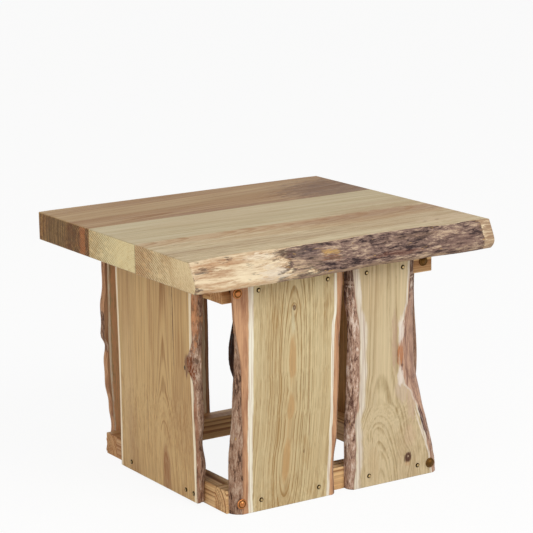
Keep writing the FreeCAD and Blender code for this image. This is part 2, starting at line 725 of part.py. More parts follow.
def wood_screw(name, long):
    """A round-head wood screw with a cross recess, its seat at y = 0, pointing along +Y."""
    body = doc.addObject("PartDesign::Body", name)
    turned_solid(body, name, "Sizes.screw_head_across / 2", "Sizes.screw_head_high",
                 "Sizes.screw_across / 2", long, "Sizes.screw_point_long")
    arm, half = "Sizes.screw_cross_long / 2", "Sizes.screw_cross_wide / 2"
    for index, (x, y) in enumerate(((arm, half), (half, arm))):
        slot = new_sketch(body, f"{name}_slot_{index}", "XZ_Plane", "Sizes.screw_head_high")
        add_polygon(slot, [(f"-{x}", f"-{y}"), (x, f"-{y}"), (x, y), (f"-{x}", y)])
        pocket(body, f"{name}_recess_{index}", slot, "Sizes.screw_cross_deep")
    return body


def cross_dowel(name):
    """A cross dowel along +Y with a bolt hole through its side and a slot in its far end."""
    body = doc.addObject("PartDesign::Body", name)
    disc = new_sketch(body, f"{name}_disc", "XZ_Plane")
    add_circles(disc, [("0", "0")], "Sizes.dowel_across")
    pad(body, f"{name}_round", disc, "Places.dowel_long", True)
    doc.recompute()
    bore = new_sketch(body, f"{name}_bore_plan", "YZ_Plane", "-Sizes.dowel_across")
    add_circles(bore, [("Places.dowel_long / 2", "0")], "Places.bolt_hole")
    pocket(body, f"{name}_bore", bore, "2 * Sizes.dowel_across", True)
    slot = new_sketch(body, f"{name}_slot_plan", "XZ_Plane", "-Places.dowel_long")
    arm, half = "Sizes.dowel_across", "Sizes.dowel_slot_wide / 2"
    add_polygon(slot, [(f"-{arm}", f"-{half}"), (arm, f"-{half}"), (arm, half), (f"-{arm}", half)])
    pocket(body, f"{name}_slot", slot, "Sizes.dowel_slot_deep", True)
    return body


def copy_of(model, name):
    """Another of the same piece, made once and placed many times."""
    link = doc.addObject("App::Link", name)
    link.LinkedObject = model
    return link


def group_of(name, pieces):
    """A group of separate solids in one node."""
    group = doc.addObject("Part::Compound", name)
    group.Links = pieces
    return group


def side_group(name, models_and_places):
    """A group whose pieces each copy a model and stand in a side's own frame."""
    pieces = []
    for index, (model, side, along, inward, up) in enumerate(models_and_places):
        piece = copy_of(model, f"{name}_{index}")
        stand_at_side(piece, side, along, inward, up)
        pieces.append(piece)
    return group_of(name, pieces)


def make_top():
    """The three planks of the top, the front one with its live edge."""
    front_joint = ("Sizes.front_plank_left_deep", "Sizes.front_plank_right_deep")
    back_joint = ("Places.back_joint_left", "Places.back_joint_right")
    back_line = ("Sizes.top_deep", "Sizes.top_deep")
    middle = plank("top_plank_middle", front_joint, back_joint)
    back = plank("top_plank_back", back_joint, back_line)
    round_back_corners(back)
    blank = plank("front_plank_blank", ("0", "0"), front_joint)
    front = doc.addObject("Part::Cut", "top_plank_front")
    front.Base = blank
    front.Tool = front_waste()
    return [front, middle, back]


def make_rails():
    """The upper and lower frames of four rails each."""
    rails = []
    for row in ("upper", "lower"):
        rails += [through_rail(row, side) for side in ("front", "back")]
        rails += [butted_rail(row, side) for side in ("left", "right")]
    return rails


def make_bolts():
    """The bolts at the corners of the front and the back, with their cross dowels."""
    long_bolt = carriage_bolt("board_bolt", "Places.board_bolt_long")
    short_bolt = carriage_bolt("rail_bolt", "Places.rail_bolt_long")
    dowel = cross_dowel("dowel")
    groups = []
    for side in ("front", "back"):
        bolts, dowels = [], []
        for corner in ("upper_left", "lower_left", "upper_right", "lower_right"):
            along, up = corner_along(side, corner), fixing_up(corner.split("_")[0])
            if is_board_bolt(side, corner):
                bolts.append((long_bolt, side, along, "-Sizes.board_thick", up))
            else:
                bolts.append((short_bolt, side, along, "0", up))
            dowels.append(dowel_place(dowel, side, corner, up))
        groups.append(side_group(f"{side}_carriage_bolts", bolts))
        groups.append(side_group(f"{side}_cross_dowels", dowels))
    return groups


def dowel_place(dowel, side, corner, up):
    """A dowel in the side rail behind a corner bolt, its slot towards the inside."""
    near_left = (side == "front") == corner.endswith("left")
    rail_side = "left" if near_left else "right"
    from_corner = "(Sizes.rail_thick + Sizes.dowel_from_end)"
    at_far_end = (side == "front") == (rail_side == "left")
    along = f"Places.base_deep - {from_corner}" if at_far_end else from_corner
    return (dowel, rail_side, along, "Sizes.dowel_cover", up)


def make_screws():
    """The screws of the boards, one group a side, and those that hold the top."""
    board_screw = wood_screw("board_screw", "Places.board_screw_long")
    top_screw = wood_screw("top_screw", "Places.top_screw_long")
    groups = []
    for side in SIDES:
        spots = []
        for row in ("upper", "lower"):
            for along in screws_of_side(side, row):
                spots.append((board_screw, side, along, "-Sizes.board_thick", fixing_up(row)))
        groups.append(side_group(f"{side}_board_screws", spots))
    rising = []
    for side in SIDES:
        for index, (x, y) in enumerate(top_screw_places(side)):
            screw = copy_of(top_screw, f"{side}_top_screw_{index}")
            screw.Placement = Placement(Vector(), ACROSS_TO_UP)
            stand(screw, x, y, "Places.upper_rail_up")
            rising.append(screw)
    groups.append(group_of("top_screws", rising))
    return groups


def check(parts):
    """Stop if any object failed or any sub-part is empty or not valid."""
    for item in doc.Objects:
        if "Invalid" in item.State or "Error" in item.State:
            raise RuntimeError(f"{item.Name} failed: {item.State}")
    for part in parts:
        if part.Shape.isNull() or not part.Shape.isValid():
            raise RuntimeError(f"{part.Label} has no valid shape")


def main():
    parts = make_top() + make_rails() + [slab_board(name) for name in BOARDS]
    parts += make_bolts() + make_screws()
    doc.recompute()
    check(parts)
    os.makedirs("parts", exist_ok=True)
    for part in parts:
        part.Shape.exportStep(f"parts/{part.Label}.step")
        print(part.Label, len(part.Shape.Solids), "solids", round(part.Shape.Volume))


main()
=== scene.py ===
"""A live-edge side table: planks, slab boards, rails and fixings, finished around its frame.

Every piece keeps the frame's own place and size. The planks and boards take their live edges
from the frame's solids and add the relief of the bark. Metres, +Z up, the front faces -Y.
"""

import math

import bmesh
import bpy
from bpy.props import FloatProperty, FloatVectorProperty, PointerProperty
from mathutils import Matrix, Vector, noise
from mathutils.bvhtree import BVHTree


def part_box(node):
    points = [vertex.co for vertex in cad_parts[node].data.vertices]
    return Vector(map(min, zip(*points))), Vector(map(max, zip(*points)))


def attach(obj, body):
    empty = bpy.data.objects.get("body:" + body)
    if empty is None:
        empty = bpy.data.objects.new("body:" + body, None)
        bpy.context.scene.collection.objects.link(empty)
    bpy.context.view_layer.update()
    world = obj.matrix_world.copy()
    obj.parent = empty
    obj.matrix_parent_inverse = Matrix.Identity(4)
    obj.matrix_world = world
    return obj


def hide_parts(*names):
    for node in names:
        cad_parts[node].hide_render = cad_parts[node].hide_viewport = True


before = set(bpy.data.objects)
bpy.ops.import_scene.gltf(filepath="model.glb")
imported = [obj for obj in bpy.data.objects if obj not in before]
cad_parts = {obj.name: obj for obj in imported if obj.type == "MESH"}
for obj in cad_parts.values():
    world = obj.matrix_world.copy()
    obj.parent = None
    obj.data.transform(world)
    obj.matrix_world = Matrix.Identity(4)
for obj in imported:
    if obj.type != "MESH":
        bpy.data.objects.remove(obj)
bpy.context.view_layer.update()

bl_info = {
    "name": "Live-Edge Side Table",
    "version": (1, 0, 0),
    "blender": (4, 5, 0),
    "location": "View3D > Sidebar > Side Table",
    "description": "Finishes a side table of live-edge planks and boards in wood, bark and metal",
    "category": "Object",
}

MM = 0.001
WHITE = (1.0, 1.0, 1.0, 1.0)


def tone(code):
    """A screen colour such as "c4ab81" as a linear colour."""
    shares = [int(code[start:start + 2], 16) / 255 for start in (0, 2, 4)]
    linear = [share / 12.92 if share <= 0.04045 else ((share + 0.055) / 1.055) ** 2.4
              for share in shares]
    return (*linear, 1.0)


def tones(codes):
    """Screen colours as linear colours."""
    return [tone(code) for code in codes]


def colour(name, code, description):
    """A colour that a user can change."""
    return FloatVectorProperty(name=name, description=description, subtype="COLOR", size=4,
                               min=0.0, max=1.0, default=tone(code))


def length(name, millimetres, description):
    """A length that a user can change."""
    return FloatProperty(name=name, description=description, default=millimetres * MM, min=0.0,
                         unit="LENGTH")


def angle(name, degrees, description):
    """An angle that a user can change."""
    return FloatProperty(name=name, description=description, default=math.radians(degrees),
                         subtype="ANGLE")


def power(name, watts, description):
    """A lamp's power that a user can change."""
    return FloatProperty(name=name, description=description, default=watts, min=0.0, unit="POWER")


class TableWoods(bpy.types.PropertyGroup):
    """Colours of the planed wood that all pieces share."""

    rail_light: colour("Rail Light", "e6be88", "Early wood of the rails")
    rail_dark: colour("Rail Dark", "95663e", "Late wood of the rails")
    rail_warm: colour("Rail Warm", "ad7444", "Brown heart of the rails")
    sapwood: colour("Sapwood", "ece6d2", "White stripe next to the bark")
    sapwood_grey: colour("Sapwood Grey", "c3a792", "Pinkish lines in the white stripe")
    knot: colour("Knot", "5a3622", "Dark wood of the knots")


class TableBarks(bpy.types.PropertyGroup):
    """Colours of the live edges."""

    inner: colour("Inner Bark", "c89972", "Smooth reddish layer under the bark")
    inner_dark: colour("Inner Bark Streak", "8c5a3e", "Streaks of the smooth layer")
    bare: colour("Bare Edge", "e2cdaa", "Cream wood where the bark has come off")
    bare_dark: colour("Bare Edge Streak", "aa7f5a", "Orange streaks of the bare wood")
    outer: colour("Outer Bark", "bb9f89", "Tops of the bark plates")
    outer_middle: colour("Outer Bark Middle", "98755e", "Sides of the bark plates")
    outer_dark: colour("Outer Bark Dark", "543b2e", "Cracks between the bark plates")
    plum: colour("Plum Bark", "c4aa90", "Tops of the layered bark of the top")
    plum_middle: colour("Plum Bark Middle", "836a5f", "Layers of the bark of the top")
    plum_dark: colour("Plum Bark Dark", "382b2b", "Cracks of the layered bark of the top")
    fleck: colour("Bark Fleck", "c39b5c", "Yellow flecks where a plate has broken off")


class TableMetals(bpy.types.PropertyGroup):
    """Colours of the fixings."""

    copper: colour("Copper", "bb7847", "Bright copper plating of the bolts")
    bronze: colour("Bronze", "5f4421", "Darkened plating")
    # The light middle of a screw head is a painted highlight, and its dark rim is painted shade in
    # the recess round the head.
    screw: colour("Screw", "d6bd8c", "Worn middle of the screw heads")
    screw_rim_shade: colour("Screw Dark", "33230f", "Rim of the screw heads")
    zinc: colour("Zinc", "a8a9ab", "Plating of the cross dowels")


class TableSizes(bpy.types.PropertyGroup):
    """Sizes of the finish."""

    mesh_step: length("Mesh Step", 1.4, "Spacing of the rows of faces along a live edge")
    arris: length("Arris", 1.2, "Width of the eased arrises")
    bark_depth: length("Bark Depth", 1.9, "How far bark plates stand above their cracks")


class TableStage(bpy.types.PropertyGroup):
    """The camera and the light."""

    focal: length("Focal Length", 144.61, "Lens of the camera on a 36 mm sensor")
    yaw: angle("Yaw", 32.234, "Turn of the view from the front")
    pitch: angle("Pitch", 12.444, "How far the view looks down")
    roll: angle("Roll", -1.024, "Tilt of the view")
    distance: length("Distance", 3818.78, "From the camera to its target")
    target: FloatVectorProperty(name="Target", description="Point in the middle of the view",
                                subtype="TRANSLATION", unit="LENGTH",
                                default=(-10.02 * MM, -26.5 * MM, 370.5 * MM))
    key_power: power("Key Power", 90.0, "Power of the large lamp")
    fill_power: power("Fill Power", 27.0, "Power of the side lamp")
    sky: FloatProperty(name="Sky", description="Strength of the light from all round",
                       subtype="FACTOR", default=0.5, min=0.0)
    backdrop: FloatProperty(name="Backdrop", description="How white the floor looks to the camera",
                            subtype="FACTOR", default=0.91, min=0.0, max=1.0)
    floor: colour("Floor", "f2f1ee", "Colour of the floor")


# Marks on the ends run the plank's whole length: their middle and their reach.
END_MIDDLE, END_REACH = 300, 9000

# Marks on planed faces lie across the face, marks on live edges lie down into its depth: the
# axis of their first length, then how ragged their borders are.
ON_FACE, ON_EDGE = (0, 2.2), (1, 4.5)

# How far apart the noise of two pieces lies, in wood and in bark.
WOOD_SEED_STEP, BARK_SEED_STEP = 1.7, 0.31

# Points of a node's mesh, and of a skin, that lie closer than this are one point.
NODE_WELD, SKIN_WELD = 0.005 * MM, 0.01 * MM

# How each board of the base looks, seen from outside. Lengths in millimetres, across from the
# board's left end; heights of the pith, stripes and covers as shares of the board's height.
# pith: height, then how far the middle of the tree lies across and behind the outer face.
# rings: spacing, contrast, and how much closer the rings lie to the right of the pith.
# heart: radius and strength of the brown heart; warmth: strength of brown patches elsewhere.
# stripes: half width and places of the white sapwood on the left, then on the right.
# covers: how much rough bark is left on the left and right edge, from 0 to 1, by height.
# rim: strength of the dark line where the planed face meets the bark.
# woods: the light, dark and warm colour of its wood. bark: its plates from light to dark.
# skin: the smooth layer and its streaks. sap: the white stripe and its lines. Without bark,
# skin or sap, the shared colours serve. soft: how far the stripe's borders blur, 1 if left out.
# knots: across, up, radius. marks: across, up, half width, half height, colour, strength, then
# how far the mark leans across for each millimetre up, where it does.
# edge_marks: the same on the live edges, their depth behind the outer face for across.
BOARD_LOOKS = {
    "front_board_left": {
        "side": "front", "woods": ("ccb98f", "96784b", "b08046"),
        "pith": [
            (0.0, 98, 19), (0.07, 101, 14), (0.15, 104, 10.5), (0.22, 107, 10.2), (0.3, 112, 13),
            (0.37, 115, 12.8), (0.41, 117, 10.4), (0.44, 118, 11), (0.5, 120, 13.5),
            (0.55, 121, 12.8), (0.59, 121, 10), (0.63, 121.6, 9.8), (0.7, 122.6, 12),
            (0.783, 124.5, 14.5), (0.862, 126, 18), (1.0, 127, 24),
        ],
        "rings": (2.7, 0.6, 1.0), "heart": (12.2, 0.62), "warmth": 0.12, "rim": 0.5,
        "stripes": (
            4.8, [(0.0, 32.5), (1.0, 41.2)], 2.9,
            [
                (0.0, 190), (0.07, 192), (0.24, 197), (0.4, 201), (0.57, 203), (0.74, 205.4),
                (0.82, 211), (1.0, 211.5),
            ],
        ),
        "covers": (
            [(0.0, 1.0), (0.72, 0.95), (0.86, 0.15), (1.0, 0.05)],
            [(0.0, 0.75), (0.15, 0.6), (0.3, 0.35), (1.0, 0.3)],
        ),
        "knots": [(127, 346, 3.4)],
        "marks": [
            (154, 165, 1.2, 66, "8a6238", 0.6), (142.3, 90.4, 1.9, 4.5, "3a2415", 0.95),
            (146, 92, 9, 30, "a5814f", 0.4), (124, 322, 4, 26, "cdc3a0", 0.6),
            (113, 250, 2.4, 60, "cfbd92", 0.6), (131, 250, 2.4, 56, "cfbd92", 0.6),
            (60, 200, 14, 260, "ccba92", 0.35), (178, 220, 12, 240, "ccba92", 0.3),
        ],
    },
    "front_board_right": {
        "side": "front", "woods": ("cab691", "9d865e", "a98368"),
        "pith": [
            (0.0, 66, 6), (0.1, 64, 10), (0.25, 58, 20), (0.36, 64, 34), (0.5, 66, 38),
            (1.0, 70, 40),
        ],
        "rings": (2.8, 0.4, 0.62), "heart": (1, 0.0), "warmth": 0.12, "rim": 0.4,
        "stripes": (
            6.6,
            [
                (0.0, 15.5), (0.12, 19.4), (0.3, 20.2), (0.38, 26.7), (0.55, 30.0), (0.72, 30.5),
                (0.81, 22.5), (0.96, 17.5), (1.0, 16.5),
            ],
            2.0,
            [
                (0.0, 176.5), (0.08, 172.5), (0.15, 165), (0.24, 156), (0.32, 145), (0.38, 134),
                (0.44, 117), (0.5, 109), (0.6, 107), (0.68, 109), (0.74, 118), (0.8, 124),
                (0.94, 128.6), (1.0, 130),
            ],
        ),
        "soft": 2.0, "sap": ("ddd2bf", "a98e7e"),
        "covers": (
            [(0.0, 0.8), (0.45, 0.75), (1.0, 0.85)],
            [(0.0, 0.8), (0.14, 0.7), (0.24, 0.2), (0.8, 0.15), (0.9, 0.7), (1.0, 0.95)],
        ),
        # Its bark colours are raised as painted light, so that the left live edge, which the left
        # board shades, reads as lit.
        "bark": ("ecd9c9", "bd9a84", "63453a"), "skin": ("bf987f", "653f33"),
        "knots": [(125.5, 39, 6.2)],
        "marks": [
            (134, 145, 12, 42, "c3a390", 0.55), (131, 80, 14, 22, "caa88c", 0.35),
            (98, 255, 7, 60, "b08f78", 0.7), (112, 165, 15, 26, "c3aa9a", 0.5),
            (112, 276, 6.4, 26, "e2d5c8", 0.9), (110, 190, 7, 20, "e0d2c5", 0.9),
            (109, 229, 7.4, 22, "b0744a", 1.0), (114, 210, 3, 3.5, "523421", 0.8),
            (103, 236, 1.2, 20, "6b412b", 0.9), (122, 255, 1.7, 56, "5a382b", 0.85),
            (134, 272, 5, 30, "6e4030", 0.75), (127, 235, 1.8, 50, "cfae9c", 0.6),
            (139, 228, 2, 30, "c9a591", 0.6), (141, 290, 5, 60, "5d3c32", 0.55),
            (159, 101, 4.6, 44, "4c3236", 1.0, -0.34), (152, 92, 1.8, 40, "e6dacb", 0.8, -0.36),
            (125.5, 39, 8.2, 10.2, "4b2b1a", 1.0), (125.5, 40.5, 1.7, 2.2, "bda285", 1.0),
            (124, 27, 5, 5, "b07a4a", 0.4), (60, 330, 20, 60, "b59b72", 0.3),
            (50, 40, 14, 40, "b3946a", 0.35), (70, 250, 10, 120, "d0bd96", 0.4),
        ],
        "edge_marks": [
            # The first mark, dark over the upper end of the live edges, is a painted shadow of the
            # top.
            (12, 385, 60, 46, "4a3026", 0.85), (5, 372, 12, 3, "c3a996", 0.6),
            (5, 365, 9, 1.6, "d2bdab", 0.7), (10, 30, 60, 30, "a98a76", 0.4),
            (6, 338, 9, 1.6, "b59b88", 0.6), (8, 326, 9, 2, "b59b88", 0.5),
        ],
    },
    "left_board": {
        "side": "left", "woods": ("cfab73", "a3794a", "96653a"),
        "pith": [
            (0.0, 176, 12), (0.1, 174, 15), (0.2, 172, 20), (0.3, 171, 27), (0.37, 171, 34),
            (0.44, 171, 39), (0.6, 172, 42), (1.0, 176, 45),
        ],
        "rings": (2.9, 0.5, 1.0), "heart": (19, 0.5), "warmth": 0.25, "rim": 0.5,
        "stripes": (
            2.8, [(0.0, 11), (0.45, 13.4), (1.0, 9.6)], 4.0,
            [(0.0, 273.8), (0.17, 274.6), (0.45, 271), (0.54, 268.8), (0.7, 268.1), (1.0, 270)],
        ),
        "covers": (
            [(0.0, 0.2), (1.0, 0.2)],
            [(0.0, 0.85), (0.55, 0.9), (0.68, 0.85), (0.74, 0.5), (1.0, 0.55)],
        ),
        "bark": ("d6bba4", "a98770", "6a4c3d"), "skin": ("d2a074", "a26e49"),
        "sap": ("fbecce", "dfc197"), "knots": [],
        "marks": [
            (254, 241, 8, 22, "6e3f26", 0.9), (246.5, 236, 3.2, 4.2, "0d0705", 1.0),
            (209, 310, 1.7, 95, "73502c", 0.95), (176, 40, 12, 44, "955f33", 0.55),
            (171, 120, 5, 30, "a4743f", 0.4), (130, 330, 7, 90, "ab8154", 0.4),
            (190, 300, 4, 100, "a97c4e", 0.3), (112, 110, 3, 70, "8e643c", 0.4),
            (60, 330, 20, 80, "a98253", 0.35), (45, 160, 22, 160, "d2b184", 0.3),
        ],
        "edge_marks": [
            (3, 241, 6.5, 24, "743a1b", 1.0), (4, 335, 7, 66, "cf9268", 0.85),
            (3, 110, 4.5, 112, "a8775a", 0.75), (10, 250, 6, 5, "3a2418", 0.6),
            (15, 335, 5, 70, "806050", 0.45),
        ],
    },
    "right_board": {
        "side": "right", "woods": ("d6a870", "9c7044", "9a633a"),
        "pith": [(0.0, 140, 44), (0.5, 136, 30), (1.0, 132, 52)], "rings": (3.4, 0.6, 1.0),
        "heart": (34, 0.5), "warmth": 0.4, "rim": 0.6,
        "stripes": (
            3.6, [(0.0, 22), (0.4, 19), (1.0, 20)], 3.4, [(0.0, 256), (0.5, 262), (1.0, 258)],
        ),
        "covers": ([(0.0, 0.9), (0.5, 0.5), (1.0, 0.9)], [(0.0, 0.3), (0.6, 0.8), (1.0, 0.9)]),
        "knots": [(96, 150, 4.0)], "marks": [(96, 150, 3.4, 4.6, "4a2d1b", 0.8)],
    },
    "back_board_right": {
        "side": "back", "woods": ("c2a274", "876540", "8a5f3c"),
        "pith": [(0.0, 84, 54), (0.4, 82, 32), (1.0, 80, 60)], "rings": (3.4, 0.6, 1.0),
        "heart": (36, 0.4), "warmth": 0.5, "rim": 0.6,
        "stripes": (
            3.2, [(0.0, 11), (1.0, 10)], 3.4, [(0.0, 134), (0.35, 143), (0.6, 131), (1.0, 131)],
        ),
        "covers": ([(0.0, 0.3), (1.0, 0.6)], [(0.0, 0.9), (0.3, 0.5), (0.45, 0.5), (1.0, 0.8)]),
        # Its bark and skin are darkened as painted shade: its edge, seen through the gap, lies in
        # the shade inside the base.
        "bark": ("5c3a26", "3f2517", "1d110b"), "skin": ("4c2c1d", "2c1810"), "knots": [],
        "marks": [(60, 120, 8, 50, "8f653d", 0.4)],
    },
    "back_board_left": {
        "side": "back", "woods": ("c6a87a", "8c6c44", "8f6440"),
        "pith": [(0.0, 110, 62), (0.55, 112, 34), (1.0, 114, 56)], "rings": (3.6, 0.6, 1.0),
        "heart": (38, 0.5), "warmth": 0.5, "rim": 0.15,
        "stripes": (
            3.4, [(0.0, 12), (1.0, 11)], 2.2, [(0.0, 212), (0.1, 206), (0.5, 211), (1.0, 209.5)],
        ),
        # Its sap colours are raised to near white as painted light, for the stripe on the face that
        # lies in shade inside the base.
        "sap": ("fff0d4", "e0c296"),
        "covers": (
            [(0.0, 0.8), (1.0, 0.5)],
            [(0.0, 0.1), (0.45, 0.1), (0.52, 0.9), (0.62, 0.8), (0.7, 0.15), (1.0, 0.1)],
        ),
        # Its mark is painted light: a bright orange strip up the whole height that lifts the shaded
        # face seen between the boards.
        "knots": [(70, 250, 3.4)], "marks": [(196, 200, 13, 400, "e4ac7c", 0.95)],
    },
}

# Each plank of the top, seen from above from its front edge, its length from the right end.
# ends: the light, dark and warm colour of its end grain, then the strength of its rings.
# end_marks: across, half width, colour, strength.
# hatch: across, where the saw marks of its ends fade out and where they are full.
PLANK_LOOKS = {
    "top_plank_front": {
        "woods": ("c9b48b", "987a52", "96724c"), "pith": [(0.0, 196, 110), (1.0, 196, 62)],
        "rings": (3.0, 0.45, 1.0), "heart": (60, 0.3), "warmth": 0.25,
        "ends": ("d8bf92", "ab8a5c", "a97b50", 0.35), "hatch": (30, 170),
        "end_marks": [(204, 60, "a8743f", 0.55), (20, 50, "dcc79c", 0.5)],
        "covers": ([
            (0.0, 0.1), (0.03, 0.2), (0.045, 0.95), (0.42, 0.95), (0.55, 0.75), (0.66, 0.6),
            (0.73, 0.25), (0.8, 0.15), (0.92, 0.1), (1.0, 0.25),
        ], []),
        "knots": [(70.7, 102.4, 3.2), (72.3, 74.9, 3.6)],
        "marks": [
            (188, 330, 27, 420, "a8763f", 0.62), (172, 120, 40, 200, "8d6238", 0.7),
            (146, 250, 18, 320, "ad8450", 0.55), (110, 110, 60, 180, "a98a62", 0.35),
            (70, 60, 30, 70, "cdb592", 0.6), (70.7, 102.4, 2.4, 4.0, "7d5433", 0.8),
            (72.3, 74.9, 2.8, 4.4, "7d5433", 0.8), (52, 250, 16, 200, "d3c29b", 0.5),
            (20, 560, 7, 26, "946c46", 0.6), (60, 520, 6, 18, "957350", 0.5),
            (120, 430, 10, 60, "a4845a", 0.5), (30, 60, 14, 70, "cdbb94", 0.4),
        ],
    },
    "top_plank_middle": {
        "woods": ("c0ae86", "9e855b", "a68a61"), "pith": [(0.0, -30, 160), (1.0, -30, 150)],
        "rings": (3.2, 0.36, 1.0), "heart": (1, 0.0), "warmth": 0.1,
        "ends": ("d8c596", "b39561", "b8936a", 0.35), "hatch": (40, 130), "knots": [],
        "end_marks": [(160, 40, "b58c58", 0.4), (30, 60, "d9c896", 0.4)],
        "marks": [
            # The dark marks 70 and 60 mm from the right end are partly the wood's own tone and
            # partly a painted shadow cast by a vase.
            (150, 300, 24, 160, "bda27a", 0.3), (14, 70, 26, 150, "a5875c", 0.6),
            (60, 60, 16, 110, "a88a60", 0.6), (110, 380, 40, 160, "b59a70", 0.45),
        ],
    },
    "top_plank_back": {
        "woods": ("b08e5c", "865f33", "87592f"),
        "pith": [(0.0, 85, 34), (0.5, 50, 30), (1.0, 24, 26)], "rings": (3.2, 0.5, 1.0),
        "heart": (56, 0.3), "warmth": 0.35, "ends": ("96713f", "3c2413", "7a4626", 1.3),
        "hatch": (200, 0), "knots": [],
        "end_marks": [(24, 11, "ad6b3c", 0.8), (130, 44, "62492a", 0.6)],
        "marks": [
            # The first mark, a dark patch at the right end, is partly the wood's own darker tone
            # and partly a painted shadow cast by a vase.
            (60, 20, 110, 160, "5f3912", 0.95), (14, 300, 16, 220, "7c4f2a", 0.6),
            (110, 400, 40, 240, "9c7a49", 0.55), (45, 420, 8, 120, "8a5b30", 0.5),
        ],
    },
}

# Marks on the front edge of the top: down from its top face, along from its right end, half
# height, half length, colour, strength.
EDGE_MARKS = [
    (25, 6, 60, 18, "94755a", 0.9), (30, 70, 14, 40, "7d6258", 0.6),
    (30, 500, 13, 40, "ead9b8", 0.65), (9, 470, 5, 30, "efe2c8", 0.7),
    (22, 447, 11, 26, "9c6c46", 0.7), (22, 452, 8, 19, "ead8b6", 0.95),
    (24, 446, 4, 11, "a47550", 0.6), (24, 447, 2.4, 7, "ead8b6", 0.9),
    (7, 428, 4, 18, "5a3f31", 0.75), (28, 408, 12, 16, "d0b392", 0.75),
    (26, 376, 9, 24, "b79a80", 0.4), (15, 345, 5, 11, "c39a5c", 0.8),
    (24, 336, 5, 18, "7a4a30", 0.7), (16, 330, 4, 12, "c09a5e", 0.7),
    (12, 384, 7, 30, "54474a", 0.4), (48, 250, 3, 230, "b79a7c", 0.55),
    (34, 200, 4, 60, "7b5040", 0.45), (12, 150, 4, 70, "9a7d68", 0.4),
    (9, 560, 5, 60, "b5845c", 0.5), (15, 584, 3, 22, "7c5335", 0.7),
    (21, 560, 3, 26, "9c6c46", 0.6), (46, 540, 4, 70, "bf8f63", 0.5),
    (34, 460, 12, 26, "dcd0be", 0.55), (46, 610, 4, 12, "7a5038", 0.6),
]

# The directions of a side's length and of its inward depth, seen from outside.
SIDE_AXES = {
    "front": (Vector((1, 0, 0)), Vector((0, 1, 0))),
    "right": (Vector((0, 1, 0)), Vector((-1, 0, 0))),
    "back": (Vector((-1, 0, 0)), Vector((0, -1, 0))),
    "left": (Vector((0, -1, 0)), Vector((1, 0, 0))),
    "top": (Vector((0, 1, 0)), Vector((0, 0, -1))),
}


def between(pairs, share, soft=True):
    """The value at a share of the way along a list of (share, value) pairs."""
    if share <= pairs[0][0]:
        return pairs[0][1]
    for (start, first), (end, second) in zip(pairs, pairs[1:]):
        if share <= end:
            part = (share - start) / (end - start)
            part = part * part * (3 - 2 * part) if soft else part
            return first + (second - first) * part
    return pairs[-1][1]


def seed_of(node):
    """A number of a piece's own for its noise."""
    return sum(ord(letter) for letter in node) % 97


class Stock:
    """A node's solid in its own frame: across its width, into its depth and along its grain."""

    INSIDE = 0.05 * MM

    def __init__(self, node, side):
        low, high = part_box(node)
        across, inward = SIDE_AXES[side]
        along = across.cross(inward)
        facing = across + inward + along
        corner = Vector([low[axis] if facing[axis] > 0 else high[axis] for axis in range(3)])
        turn = Matrix((across, inward, along)).transposed().to_4x4()
        self.matrix = Matrix.Translation(corner) @ turn
        extent = high - low
        self.wide = abs(extent.dot(across))
        self.thick = abs(extent.dot(inward))
        self.long = abs(extent.dot(along))
        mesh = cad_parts[node].data
        inverse = self.matrix.inverted()
        points = [inverse @ vertex.co for vertex in mesh.vertices]
        self.tree = BVHTree.FromPolygons(points, [polygon.vertices for polygon in mesh.polygons])

    def edge(self, right, depth, along):
        """How far across the solid's left or right edge lies at one depth and length."""
        depth = min(max(depth, self.INSIDE), self.thick - self.INSIDE)
        along = min(max(along, self.INSIDE), self.long - self.INSIDE)
        outside = self.wide + 1.0 if right else -1.0
        ray = Vector((-1.0 if right else 1.0, 0.0, 0.0))
        hit = self.tree.ray_cast(Vector((outside, depth, along)), ray)[0]
        if hit is None:
            raise RuntimeError("a live edge lies outside its solid")
        return hit.x


def plate_height(depth, along, seed):
    """Height of rough bark from 0 to 1: long plates broken into layers."""
    lumps = noise.fractal(Vector((depth * 40, along * 16, seed * 7.3)), 0.9, 2.1, 2)
    ridges = noise.fractal(Vector((depth * 150, along * 46, seed * 2.1)), 0.8, 2.2, 3)
    level = 3.2 * (0.5 + 0.45 * ridges)
    step = math.floor(level)
    layered = (step + min(1.0, (level - step) * 2.6) ** 2) / 3.2
    fine = noise.noise(Vector((depth * 480, along * 260, seed)))
    return min(max(0.25 * lumps + 0.85 * layered + 0.1 * fine, 0.0), 1.0)


def scallop_height(depth, along, seed):
    """Height of an edge whose bark has come off: long shallow scallops, from 0 to 1."""
    spot = Vector((depth * 50, along * 14, seed * 3.7))
    return 0.5 + 0.4 * noise.fractal(spot, 1.0, 2.0, 3)


